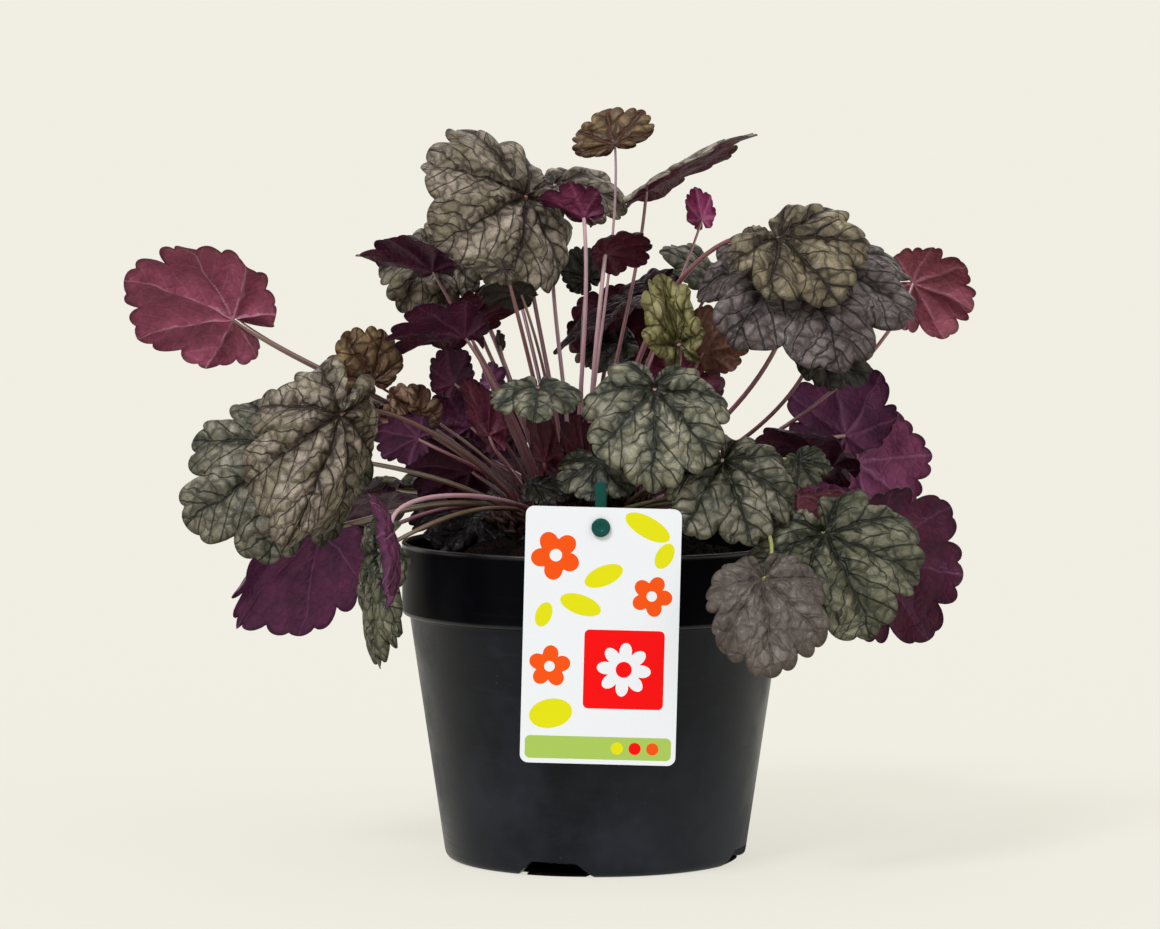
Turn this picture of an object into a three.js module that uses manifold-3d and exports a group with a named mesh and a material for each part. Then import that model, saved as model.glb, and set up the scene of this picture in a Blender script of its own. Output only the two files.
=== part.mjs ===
// A heuchera (coral bells) growing in a round nursery pot, with its plant label on a stake.
// Millimetres, +Z up. The origin is the centre of the pot's base, on the ground, and -Y is the front.
import * as THREE from "three";
import { mergeVertices } from "three/addons/utils/BufferGeometryUtils.js";
import Module from "manifold-3d";

const wasm = await Module();
wasm.setup();

// ---------- driving dimensions ----------

const GAP = 0.3; // clearance between pieces that rest on each other

const POT = {
  height: 140,
  wall: 1.4,
  rimRadius: 85.2, // outside of the collar
  collarHeight: 32,
  stepIn: 3.3, // how far the wall stands back below the collar
  footRadius: 66, // outside of the wall just above the rounded bottom edge
  edgeRound: 4.5,
  floorDisc: 32, // the flat disc in the middle that rests on the ground
  channelLift: 6, // underside of the raised ring round that disc
  footRing: 57, // inside of the ring that stands on the ground
  drainHoles: 8,
  drainHoleRadius: 4.5,
  drainCircle: 45,
  notches: 4,
  notchTurn: -16, // degrees, of the first notch from the front
  notchBottom: 37,
  notchTop: 21,
  notchHeight: 6.6,
};

const SOIL = { atWall: 126, atCrown: 142, crownEdge: 40 };

const CROWN = { centre: [-8, 0, 150], radii: [34, 24, 16], seatSpacing: 4.6 };

const LABEL = {
  width: 66,
  height: 109.2,
  thickness: 0.5,
  corner: 3.5,
  holeDrop: 8.5, // hole centre below the top edge
  holeRadius: 2,
  middle: 1.2, // how far the card's middle lies to the right of the hole
  tilt: 1.5, // degrees clockwise, seen from the front
  hole: [2, -87.2, 153], // centre of the hole, on the card's back face
};

const STAKE = {
  width: 5,
  thickness: 2,
  bottom: 100,
  top: 172,
  back: -76.4, // the stake's rear face
  studRadius: 1.6,
  buttonRadius: 4,
  buttonThickness: 1.6,
};

const LEAF = {
  thickness: 0.9,
  stalkRadius: 1.4,
  stalkSides: 5,
  stalkSteps: 6,
  foldWidth: 0.12, // how wide the crease along the midrib is, for a blade of length 1
  lobeNotch: 0.13, // depth of the notches between the lobes
  gap: 9, // half the angle of the gap where the stalk comes in, in degrees
  halfWidth: 0.66, // half the width at the stalk, for a blade of length 1
  back: 0.3, // how far the back lobes reach behind the stalk
};

// The outline in degrees from the midrib: each stretch runs from one lobe's tip to the next over a notch, and
// the last stretch rounds the back lobe to the gap where the stalk comes in, which takes its own share off.
const STRETCHES = [
  { from: 0, over: 21, to: 42, notch: true },
  { from: 42, over: 63, to: 85, notch: true },
  { from: 85, over: 107, to: 137, notch: true },
  { from: 137, over: 155, to: 180, notch: false },
];

const TONES = {
  silver: { color: 0x86877c, roughness: 0.5 },
  green: { color: 0x6f7862, roughness: 0.5 },
  bronze: { color: 0x5d4f3a, roughness: 0.5 },
  maroon: { color: 0x5a1c33, roughness: 0.45 },
  purple: { color: 0x43193c, roughness: 0.45 },
};

// One row for each leaf. at is where the stalk meets the blade, tip the end of the midrib, face roughly the
// way the upper side looks. In degrees: cup rounds the blade down all round, fold raises the two halves about
// the midrib. wide is the width against the usual one, rise how steeply the stalk climbs before it leans over,
// bow a push on its middle, back how far the back lobes reach behind the stalk.
const LEAVES = [
  { at: [-158.5, 0, 238], tip: [-207, -5, 256], face: [-0.1, 0.75, 0.6], cup: 25, fold: 10, wide: 0.88, back: 0.35, tone: "maroon" },
  { at: [-108, -72, 200], tip: [-131, -88, 145], face: [0.5, -0.85, 0.2], cup: 25, fold: -30, wide: 0.88, back: 0.42, rise: 0.7, tone: "silver" },
  { at: [-128, -40, 181], tip: [-175, -48, 152], face: [-0.3, -0.9, 0.35], cup: 25, wide: 1.08, back: 0.6, tone: "green" },
  { at: [-97, -20, 211], tip: [-109, -24, 232], face: [0, -0.8, 0.5], cup: 15, wide: 1.1, back: 0.2, tone: "bronze" },
  { at: [-79, -12, 192], tip: [-90, -18, 209], face: [-0.2, -0.7, 0.6], fold: 30, back: 0.4, tone: "bronze" },
  { at: [-77, -28, 187], tip: [-96, -33, 190], face: [0, 0.8, 0.5], cup: 15, tone: "purple" },
  { at: [-55, 14, 170], tip: [-86, 12, 173], face: [0, 0.8, 0.5], cup: 15, wide: 0.85, tone: "purple" },
  { at: [-120, -26, 147], tip: [-158, -22, 104], face: [-0.3, 0.75, 0.5], cup: 20, fold: -25, wide: 0.8, back: 0.15, tone: "purple" },
  { at: [-93, -74, 142], tip: [-92, -78, 93], face: [-0.85, -0.6, 0], cup: 15, wide: 0.5, tone: "silver" },
  { at: [-85, -110, 154], tip: [-87, -112, 121], face: [0.98, 0.2, 0.1], cup: 45, wide: 0.55, back: 0.6, tone: "purple" },
  { at: [-103, 14, 140], tip: [-109, 12, 124], face: [-0.6, -0.6, 0.3], tone: "purple" },
  { at: [-30, -8, 292], tip: [-68, -46, 271], face: [0.58, -0.7, 0.41], cup: 25, back: 0.42, tone: "silver" },
  { at: [-18, 30, 297], tip: [14, 26, 285], face: [0.15, -0.5, 0.85], cup: 40, tone: "silver" },
  { at: [-5, -14, 283], tip: [-24, -20, 292], face: [0.3, 0.6, 0.75], fold: 30, tone: "purple" },
  { at: [-68, 18, 266], tip: [-89, 12, 240], face: [-0.2, -0.85, 0.5], cup: 20, back: 0.4, tone: "silver" },
  { at: [-71, -16, 260], tip: [-104, -20, 266], face: [0.1, 0.3, 0.93], fold: 15, tone: "purple" },
  { at: [-56, 34, 250], tip: [-65, 30, 259], face: [0, -0.6, 0.8], tone: "bronze" },
  { at: [-57, -31, 232], tip: [-90, -38, 232], face: [0.05, 0.5, 0.85], fold: 15, tone: "purple" },
  { at: [-56, 2, 236], tip: [-25, -6, 252], face: [0.2, 0.45, 0.85], fold: 20, wide: 0.6, tone: "maroon" },
  { at: [-3, 24, 254], tip: [-11, 20, 267], face: [0, -0.8, 0.6], tone: "green" },
  { at: [4, -24, 267.5], tip: [26, -26, 271.5], face: [0.1, 0.5, 0.85], cup: 30, tone: "purple" },
  { at: [8.5, 0, 314], tip: [4.5, 9, 329.5], face: [-0.2, -0.85, 0.5], cup: 15, wide: 1.4, back: 0.05, rise: 0.1, tone: "bronze" },
  { at: [22, -5, 295], tip: [68, -10, 319], face: [-0.45, 0.14, 0.88], cup: 12, wide: 0.7, back: 0.2, tone: "maroon" },
  { at: [47, 10, 281], tip: [44, 10, 295], face: [0, 0.8, 0.3], fold: 30, wide: 0.7, tone: "purple" },
  { at: [78, -68, 275], tip: [102, -86, 249], face: [0.1, -0.75, 0.65], cup: 25, fold: 15, wide: 1.1, back: 0.4, rise: 1.3, bow: [-14, 16, 4], tone: "green" },
  { at: [86, -50, 267], tip: [102, -94, 223], face: [0.1, -0.7, 0.7], cup: 28, wide: 1.1, back: 0.42, bow: [22, 0, -18], tone: "silver" },
  { at: [140, 8, 253], tip: [168, 2, 242], face: [0.2, 0.85, 0.3], cup: 20, back: 0.5, bow: [25, 0, -22], tone: "maroon" },
  { at: [36, -30, 228], tip: [28, -28, 258], face: [-0.1, -0.9, 0.2], fold: 55, wide: 0.85, bow: [8, 4, 0], tone: "green" },
  { at: [47, -16, 224], tip: [60, -21, 242], face: [0.2, 0.8, 0.4], cup: 10, bow: [4, -4, 0], tone: "maroon" },
  { at: [96, -24, 228], tip: [117, -28, 212], face: [0.1, -0.6, 0.7], cup: 15, bow: [18, 0, -14], tone: "purple" },
  { at: [110, 0, 186], tip: [104, 8, 219], face: [0, 0.9, 0.3], cup: 25, tone: "purple" },
  { at: [116, 18, 173], tip: [149, 16, 177], face: [0.1, 0.95, 0.2], cup: 20, wide: 1.1, tone: "purple" },
  { at: [104, -14, 174], tip: [70, -20, 187], face: [-0.1, 0.5, 0.85], cup: 15, wide: 0.8, tone: "purple" },
  { at: [88, -22, 165], tip: [128, -26, 156], face: [0.1, 0.45, 0.9], fold: -15, wide: 0.75, tone: "maroon" },
  { at: [87, -62, 180], tip: [95, -67, 168], face: [0.3, -0.8, 0.4], fold: 20, tone: "green" },
  { at: [97, -75, 150], tip: [117, -95, 107], face: [0.1, -0.8, 0.55], cup: 25, wide: 1.1, back: 0.4, tone: "green" },
  { at: [70, -106, 133], tip: [74, -114, 93], face: [-0.05, -0.95, 0.25], cup: 20, wide: 0.9, back: 0.25, bow: [26, 0, 12], tone: "silver" },
  { at: [54, -70, 180.5], tip: [65.5, -87.5, 146], face: [0.1, -0.8, 0.5], cup: 25, wide: 1.05, tone: "green" },
  { at: [120, -40, 135], tip: [161, -42, 128], face: [0.15, 0.95, 0.1], cup: 20, wide: 1.2, tone: "purple" },
  { at: [25, -70, 211], tip: [24, -90, 169], face: [0, -0.85, 0.5], cup: 20, wide: 0.93, tone: "green" },
  { at: [2, -58, 179], tip: [-3, -70, 162], face: [-0.1, -0.7, 0.65], cup: 15, wide: 1.2, tone: "silver" },
  { at: [-25, -55, 211], tip: [-26, -78, 198], face: [0, -0.6, 0.8], cup: 20, wide: 1.1, back: 0.5, tone: "green" },
  { at: [27, 42, 249], tip: [-17, 38, 222], face: [0.4, -0.1, 0.85], fold: 15, wide: 0.5, tone: "maroon" },
  { at: [-62, -14, 210], tip: [-66, -18, 226], face: [-0.5, 0.6, 0.3], tone: "purple" },
  { at: [-56, 36, 188], tip: [-70, 32, 206], face: [-0.3, 0.8, 0.3], tone: "purple" },
  { at: [6, 58, 222], tip: [12, 58, 250], face: [0, 0.9, 0.2], tone: "maroon" },
  // the far side
  { at: [-98, 64, 196], tip: [-130, 92, 178], face: [-0.4, 0.5, 0.75], cup: 25, tone: "silver" },
  { at: [-42, 80, 272], tip: [-56, 120, 252], face: [-0.15, 0.5, 0.8], cup: 25, tone: "green" },
  { at: [18, 92, 230], tip: [28, 132, 206], face: [0.1, 0.5, 0.8], cup: 25, tone: "maroon" },
  { at: [54, 46, 254], tip: [30, 40, 266], face: [0, -0.45, 0.85], cup: 20, back: 0.5, tone: "green" },
  { at: [-90, 50, 160], tip: [-126, 70, 134], face: [-0.4, 0.4, 0.8], cup: 25, tone: "green" },
  { at: [-50, 92, 172], tip: [-68, 130, 144], face: [-0.25, 0.6, 0.75], cup: 25, tone: "bronze" },
  { at: [2, 100, 170], tip: [2, 138, 138], face: [0, 0.65, 0.75], cup: 25, tone: "green" },
  { at: [64, 82, 168], tip: [88, 116, 140], face: [0.3, 0.55, 0.75], cup: 25, tone: "silver" },
  { at: [98, 60, 160], tip: [132, 78, 130], face: [0.5, 0.4, 0.75], cup: 25, tone: "green" },
];

// ---------- small helpers ----------

const rad = THREE.MathUtils.degToRad;
const vec = (xyz) => new THREE.Vector3(...xyz);
const UP = new THREE.Vector3(0, 0, 1);

// A closed geometry as a manifold-3d solid.
function solid(geometry) {
  const bare = geometry.index ? geometry.toNonIndexed() : geometry.clone();
  bare.deleteAttribute("normal");
  bare.deleteAttribute("uv");
  const merged = mergeVertices(bare, 1e-4);
  return new wasm.Manifold(
    new wasm.Mesh({
      numProp: 3,
      vertProperties: new Float32Array(merged.attributes.position.array),
      triVerts: new Uint32Array(merged.index.array),
    }),
  );
}

// A manifold-3d solid as a geometry.
function geometryOf(body) {
  const mesh = body.getMesh();
  return new THREE.BufferGeometry()
    .setAttribute("position", new THREE.BufferAttribute(mesh.vertProperties, 3))
    .setIndex(new THREE.BufferAttribute(mesh.triVerts, 1));
}

function named(name, body, look) {
  const geometry = geometryOf(body);
  geometry.computeVertexNormals();
  const mesh = new THREE.Mesh(geometry, new THREE.MeshStandardMaterial({ metalness: 0, ...look }));
  mesh.name = name;
  return mesh;
}

// A solid of revolution about +Z, from [radius, height] points that run up the outside.
function revolve(points, segments) {
  const profile = points.map(([r, z]) => new THREE.Vector2(r, z));
  return new THREE.LatheGeometry(profile, segments).rotateX(Math.PI / 2);
}

function cylinder(radius, height, centre, axis = "z", sides = 16) {
  const geometry = new THREE.CylinderGeometry(radius, radius, height, sides);
  if (axis === "z") geometry.rotateX(Math.PI / 2);
  return geometry.translate(...centre);
}

// ---------- pot ----------

// The inside of the wall at a height above the rounded bottom edge and below the collar's step.
function wallRadius(z) {
  const top = POT.height - POT.collarHeight;
  const share = (z - POT.edgeRound) / (top - POT.edgeRound);
  return POT.footRadius + share * (POT.rimRadius - POT.stepIn - POT.footRadius);
}

function potProfile() {
  const { height, wall, rimRadius, collarHeight, footRadius, edgeRound, floorDisc, channelLift, footRing } = POT;
  const step = height - collarHeight;
  const under = wallRadius(step);
  const discEdge = floorDisc + 1.5;
  return [
    [0, 0],
    [floorDisc, 0],
    [discEdge, channelLift],
    [footRing, channelLift],
    [footRing + 1, 0],
    [footRadius - edgeRound, 0],
    [footRadius - 0.3 * edgeRound, 0.3 * edgeRound],
    [footRadius, edgeRound],
    [under, step],
    [rimRadius, step + 0.6],
    [rimRadius, height - 0.6],
    [rimRadius - 0.5 * wall, height],
    [rimRadius - wall, height - 0.6],
    [rimRadius - wall, step + 3],
    [under - wall, step - 1],
    [footRadius - wall + 0.6, edgeRound + channelLift],
    [footRadius - wall - 1.5, channelLift + wall],
    [discEdge - wall, channelLift + wall],
    [floorDisc - wall, wall],
    [0, wall],
  ];
}

// A wedge that cuts one drain notch through the foot of the wall.
function notchCutter(turn) {
  const outline = new THREE.Shape([
    new THREE.Vector2(-POT.notchBottom / 2, -1),
    new THREE.Vector2(POT.notchBottom / 2, -1),
    new THREE.Vector2(POT.notchTop / 2, POT.notchHeight),
    new THREE.Vector2(-POT.notchTop / 2, POT.notchHeight),
  ]);
  const reach = POT.footRadius - POT.footRing + 8;
  const cutter = new THREE.ExtrudeGeometry(outline, { depth: reach, bevelEnabled: false });
  cutter.rotateX(Math.PI / 2).translate(0, -POT.footRing + 4, 0);
  return solid(cutter.rotateZ(rad(turn)));
}

function makePot() {
  let pot = solid(revolve(potProfile(), 40));
  for (let i = 0; i < POT.notches; i++) {
    pot = pot.subtract(notchCutter(POT.notchTurn + (360 / POT.notches) * i));
  }
  for (let i = 0; i < POT.drainHoles; i++) {
    const angle = rad(POT.notchTurn + (360 / POT.drainHoles) * (i + 0.5));
    const centre = [POT.drainCircle * Math.cos(angle), POT.drainCircle * Math.sin(angle), POT.channelLift];
    pot = pot.subtract(solid(cylinder(POT.drainHoleRadius, 8, centre, "z", 12)));
  }
  return named("pot", pot, { color: 0x1c1e21, roughness: 0.45 });
}

// ---------- crown and soil ----------

function ellipsoid(grow) {
  const [a, b, c] = CROWN.radii;
  const geometry = new THREE.SphereGeometry(1, 24, 12).rotateX(Math.PI / 2);
  return geometry.scale(a + grow, b + grow, c + grow).translate(...CROWN.centre);
}

function makeCrown() {
  return named("crown", solid(ellipsoid(0)), { color: 0x2b1a14, roughness: 0.9 });
}

function makeSoil() {
  const inner = POT.wall + GAP;
  const floor = POT.channelLift + POT.wall + GAP;
  const step = POT.height - POT.collarHeight;
  const disc = POT.floorDisc - POT.wall - GAP;
  const profile = [
    [0, POT.wall + GAP],
    [disc, POT.wall + GAP],
    [disc, floor],
    [wallRadius(floor) - inner - 3, floor],
    [wallRadius(floor + 5) - inner - 0.4, floor + 5],
    [wallRadius(step - 2) - inner - 0.3, step - 2],
    [POT.rimRadius - inner - 0.4, step + 4],
    [POT.rimRadius - inner - 0.4, SOIL.atWall],
    [SOIL.crownEdge, SOIL.atCrown],
    [0, SOIL.atCrown],
  ];
  const slit = solid(stakeBlade(GAP));
  const soil = solid(revolve(profile, 32)).subtract(solid(ellipsoid(GAP + 0.1))).subtract(slit);
  return named("soil", soil, { color: 0x1d1612, roughness: 1 });
}

// ---------- label and stake ----------

function stakeBlade(grow) {
  const { width, thickness, bottom, top, back } = STAKE;
  const box = new THREE.BoxGeometry(width + 2 * grow, thickness + 2 * grow, top - bottom + 2 * grow);
  return box.translate(LABEL.hole[0], back - thickness / 2, (top + bottom) / 2);
}

function makeStake() {
  const [x, cardBack, z] = LABEL.hole;
  const cardFront = cardBack - LABEL.thickness;
  const studEnd = cardFront - GAP - 0.5;
  const studStart = STAKE.back - STAKE.thickness / 2;
  const studMiddle = [x, (studStart + studEnd) / 2, z];
  const stud = cylinder(STAKE.studRadius, studStart - studEnd, studMiddle, "y", 12);
  const buttonMiddle = [x, cardFront - GAP - STAKE.buttonThickness / 2, z];
  const button = cylinder(STAKE.buttonRadius, STAKE.buttonThickness, buttonMiddle, "y", 16);
  const stake = solid(stakeBlade(0)).add(solid(stud)).add(solid(button));
  return named("label_stake", stake, { color: 0x0f3b33, roughness: 0.4 });
}

function makeLabel() {
  const { width, height, corner, holeDrop, holeRadius, thickness, middle, tilt, hole } = LABEL;
  const [left, right] = [middle - width / 2, middle + width / 2];
  const [low, high] = [holeDrop - height, holeDrop];
  const card = new THREE.Shape();
  card.moveTo(left + corner, low);
  card.lineTo(right - corner, low);
  card.absarc(right - corner, low + corner, corner, -Math.PI / 2, 0);
  card.absarc(right - corner, high - corner, corner, 0, Math.PI / 2);
  card.absarc(left + corner, high - corner, corner, Math.PI / 2, Math.PI);
  card.absarc(left + corner, low + corner, corner, Math.PI, 1.5 * Math.PI);
  card.holes.push(new THREE.Path().absarc(0, 0, holeRadius, 0, 2 * Math.PI));
  const settings = { depth: thickness, bevelEnabled: false, curveSegments: 5 };
  const geometry = new THREE.ExtrudeGeometry(card, settings).rotateX(Math.PI / 2);
  geometry.rotateY(rad(tilt)).translate(...hole);
  return named("label", solid(geometry), { color: 0xf2f2f0, roughness: 0.35 });
}

// ---------- leaves ----------

// The blade's outline: its distance from the stalk for each angle from the midrib, on a blade of length 1. It
// runs smoothly from 1 at the tip through the half width to the reach of the back lobes.
function outlineRadius(leaf, angle, notched = false) {
  const { back = LEAF.back } = leaf;
  const ends = (1 + back) / 2;
  const even = (ends + LEAF.halfWidth) / 2;
  const twice = (ends - LEAF.halfWidth) / 2;
  const base = even + ((1 - back) / 2) * Math.cos(rad(angle)) + twice * Math.cos(rad(2 * angle));
  return notched ? base * (1 - LEAF.lobeNotch) : base;
}

// A point of the flat blade, with its height above the middle of the leaf's thickness, taken through the
// cupping and the fold about the midrib. Lengths are shares of the blade's length.
function shapePoint(leaf, u, v, h) {
  const { cup = 0, fold = 0, wide = 1 } = leaf;
  const reach = Math.hypot(u, v);
  const turn = Math.atan2(v, u);
  let [x, y, z] = [u, v * wide, h];
  if (cup) {
    const radius = 1 / rad(cup);
    const out = (radius + h) * Math.sin(reach / radius);
    [x, y] = [out * Math.cos(turn), out * Math.sin(turn) * wide];
    z = (radius + h) * Math.cos(reach / radius) - radius;
  }
  if (fold) {
    const full = rad(fold);
    const side = Math.sign(y) || 1;
    const flat = Math.abs(y);
    const bent = full * Math.min(flat / LEAF.foldWidth, 1);
    const radius = LEAF.foldWidth / full;
    const past = Math.max(flat - LEAF.foldWidth, 0);
    y = side * ((radius - z) * Math.sin(bent) + past * Math.cos(full));
    z = radius - (radius - z) * Math.cos(bent) + past * Math.sin(full);
  }
  return new THREE.Vector3(x, y, z);
}

// The placed frame of a blade: its size, and the directions of the midrib, of the width and of the upper side,
// turned so that the end of the shaped midrib lands on the tip.
function bladeFrame(leaf) {
  const at = vec(leaf.at);
  const along = vec(leaf.tip).sub(at);
  const length = along.length();
  along.normalize();
  const face = vec(leaf.face);
  face.addScaledVector(along, -face.dot(along)).normalize();
  const across = new THREE.Vector3().crossVectors(face, along);
  const tip = shapePoint(leaf, 1, 0, 0);
  const size = length / Math.hypot(tip.x, tip.z);
  const dip = Math.atan2(-tip.z, tip.x);
  along.applyAxisAngle(across, -dip);
  face.applyAxisAngle(across, -dip);
  return { at, along, across, face, size };
}

function makeBlade(leaf) {
  const frame = bladeFrame(leaf);
  const half = LEAF.thickness / 2 / frame.size;
  const widest = 180 - LEAF.gap;
  const place = (angle, radius, side) => {
    const p = shapePoint(leaf, radius * Math.cos(rad(angle)), radius * Math.sin(rad(angle)), side * half);
    return frame.at
      .clone()
      .addScaledVector(frame.along, p.x * frame.size)
      .addScaledVector(frame.across, p.y * frame.size)
      .addScaledVector(frame.face, p.z * frame.size);
  };
  const faces = [];
  const add = (corners, turned) => {
    const order = turned ? [...corners].reverse() : corners;
    for (let i = 1; i + 1 < order.length; i++) faces.push(order[0], order[i], order[i + 1]);
  };
  for (const hand of [1, -1]) {
    for (const { from, over, to, notch } of STRETCHES) {
      const [start, middle, end] = [from, over, Math.min(to, widest)].map((angle) => angle * hand);
      const outer = (side) => [
        place(start, outlineRadius(leaf, start), side),
        place(middle, outlineRadius(leaf, middle, notch), side),
        place(end, outlineRadius(leaf, end), side),
      ];
      for (const side of [1, -1]) {
        const turned = side * hand < 0;
        const [innerA, innerB] = [start, end].map((angle) => place(angle, 0.55 * outlineRadius(leaf, angle), side));
        const [outerA, outerM, outerB] = outer(side);
        add([place(0, 0, side), innerA, innerB], turned);
        add([innerA, outerA, outerM], turned);
        add([innerA, outerM, innerB], turned);
        add([innerB, outerM, outerB], turned);
      }
      const [upper, lower] = [outer(1), outer(-1)];
      for (const i of [0, 1]) add([upper[i], lower[i], lower[i + 1], upper[i + 1]], hand < 0);
    }
    const last = widest * hand;
    const [upper, lower] = [1, -1].map((side) =>
      [0, 0.55, 1].map((share) => place(last, share * outlineRadius(leaf, last), side)),
    );
    for (const i of [0, 1]) add([upper[i], upper[i + 1], lower[i + 1], lower[i]], hand < 0);
  }
  return solid(new THREE.BufferGeometry().setFromPoints(faces));
}

// Where each stalk sits on the crown: in the direction of its own leaf, and pushed apart from its neighbours.
function crownSeats(leaves) {
  const [a, b, c] = CROWN.radii;
  const centre = vec(CROWN.centre);
  const seats = leaves.map((leaf) => {
    const way = vec(leaf.at).sub(centre).normalize();
    return new THREE.Vector2(way.x * a, way.y * b);
  });
  const keepOn = (seat) => {
    const out = Math.hypot(seat.x / a, seat.y / b) / 0.96;
    if (out > 1) seat.divideScalar(out);
  };
  for (let round = 0; round < 80; round++) {
    for (let i = 0; i < seats.length; i++) {
      for (let j = i + 1; j < seats.length; j++) {
        const apart = seats[j].clone().sub(seats[i]);
        const short = CROWN.seatSpacing - apart.length();
        if (short <= 0) continue;
        apart.setLength(short / 2);
        seats[i].sub(apart);
        seats[j].add(apart);
      }
      keepOn(seats[i]);
    }
  }
  return seats.map(({ x, y }) => {
    const height = c * Math.sqrt(Math.max(0, 1 - (x / a) ** 2 - (y / b) ** 2));
    const point = new THREE.Vector3(x, y, height);
    const normal = new THREE.Vector3(x / a ** 2, y / b ** 2, height / c ** 2).normalize();
    return { point: point.add(centre), normal };
  });
}

function stalkCurve(leaf, seat) {
  const { at, along, face } = bladeFrame(leaf);
  const { rise = 0.3, bow = [0, 0, 0] } = leaf;
  const chord = at.clone().sub(seat.point);
  const length = chord.length();
  chord.normalize();
  const leave = chord.clone().addScaledVector(UP, rise).addScaledVector(seat.normal, 0.4);
  leave.setLength(0.38 * length).add(vec(bow));
  const arrive = chord.clone().addScaledVector(UP, -rise).addScaledVector(face, 0.6);
  arrive.addScaledVector(along, 0.3).setLength(0.3 * length).sub(vec(bow));
  const slant = leave.angleTo(seat.normal);
  const lift = GAP + LEAF.stalkRadius * Math.sin(slant) + 0.05;
  const start = seat.point.clone().addScaledVector(seat.normal, lift);
  const steep = Math.max(arrive.dot(face) / arrive.length(), 0.3);
  const short = LEAF.stalkRadius * Math.sqrt(1 - Math.min(steep, 1) ** 2) / steep;
  const end = at.clone().addScaledVector(arrive, -Math.min(short, 0.7) / arrive.length());
  return new THREE.CubicBezierCurve3(start, start.clone().add(leave), end.clone().sub(arrive), end);
}

function makeStalk(leaf, seat) {
  const ring = new THREE.Shape();
  for (let i = 0; i < LEAF.stalkSides; i++) {
    const angle = (2 * Math.PI * i) / LEAF.stalkSides;
    const corner = [LEAF.stalkRadius * Math.cos(angle), LEAF.stalkRadius * Math.sin(angle)];
    if (i) ring.lineTo(...corner);
    else ring.moveTo(...corner);
  }
  const extrudePath = stalkCurve(leaf, seat);
  return solid(new THREE.ExtrudeGeometry(ring, { steps: LEAF.stalkSteps, extrudePath, bevelEnabled: false }));
}

function makeLeaves() {
  const seats = crownSeats(LEAVES);
  return LEAVES.map((leaf, i) => {
    const body = makeBlade(leaf).add(makeStalk(leaf, seats[i]));
    return named("leaf_" + String(i + 1).padStart(2, "0"), body, TONES[leaf.tone]);
  });
}

// ---------- the whole plant ----------

const plant = new THREE.Group();
plant.add(makePot(), makeSoil(), makeCrown(), makeStake(), makeLabel(), ...makeLeaves());

export default plant;
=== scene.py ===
"""A heuchera (coral bells) in a round nursery pot with its plant label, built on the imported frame.

Sizes are in millimetres and every mesh is written in metres, with +Z up and the middle of the pot's base at the origin.
Each leaf is one blade and its stalk, the pot is a turned shell, and the label hangs on the button of its stake.
"""

import logging
import math
from collections.abc import Callable
from dataclasses import dataclass, field
from enum import Enum
from functools import cache, partial

import bpy
import numpy as np
from bpy.types import ID, Material, Mesh, Node, NodeSocket, NodeTree, Object
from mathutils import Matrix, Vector, geometry

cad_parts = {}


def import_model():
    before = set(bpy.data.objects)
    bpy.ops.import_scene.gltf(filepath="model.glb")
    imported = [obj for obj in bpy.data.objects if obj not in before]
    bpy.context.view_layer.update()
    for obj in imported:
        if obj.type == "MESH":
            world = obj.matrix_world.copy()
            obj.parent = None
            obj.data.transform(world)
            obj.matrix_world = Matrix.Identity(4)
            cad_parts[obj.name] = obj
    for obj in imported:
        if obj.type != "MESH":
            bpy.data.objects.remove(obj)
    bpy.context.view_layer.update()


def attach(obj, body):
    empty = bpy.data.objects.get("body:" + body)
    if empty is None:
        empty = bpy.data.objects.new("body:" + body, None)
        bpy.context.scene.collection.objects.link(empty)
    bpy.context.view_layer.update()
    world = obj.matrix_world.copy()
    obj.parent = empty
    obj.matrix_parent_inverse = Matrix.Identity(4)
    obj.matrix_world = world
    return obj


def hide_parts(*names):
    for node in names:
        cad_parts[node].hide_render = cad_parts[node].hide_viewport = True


MM = 0.001
TURN = 2 * math.pi
LOG = logging.getLogger("heuchera")
Array = np.ndarray
Faces = list[list[int]]
Look = dict[str, object]
Point = tuple[float, float]
Put = Callable[..., Node]
Seat = tuple[Array, Array]
Spot = tuple[float, float, float]

# ---- nodes

FAMILIES = ("ShaderNode", "GeometryNode", "FunctionNode", "Node")
MODES = {"MapRange": "interpolation_type", "Mix": "blend_type"}
DATA_TYPES = {"Mix": "RGBA", "RandomValue": "FLOAT_VECTOR", "StoreNamedAttribute": "FLOAT_VECTOR"}


def linear(code: str) -> tuple[float, ...]:
    """Turns an sRGB hex colour such as "#6d3745" into linear light with an alpha of 1."""
    parts = [int(code[i : i + 2], 16) / 255 for i in (1, 3, 5)]
    return (*(c / 12.92 if c <= 0.04045 else ((c + 0.055) / 1.055) ** 2.4 for c in parts), 1.0)


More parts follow.
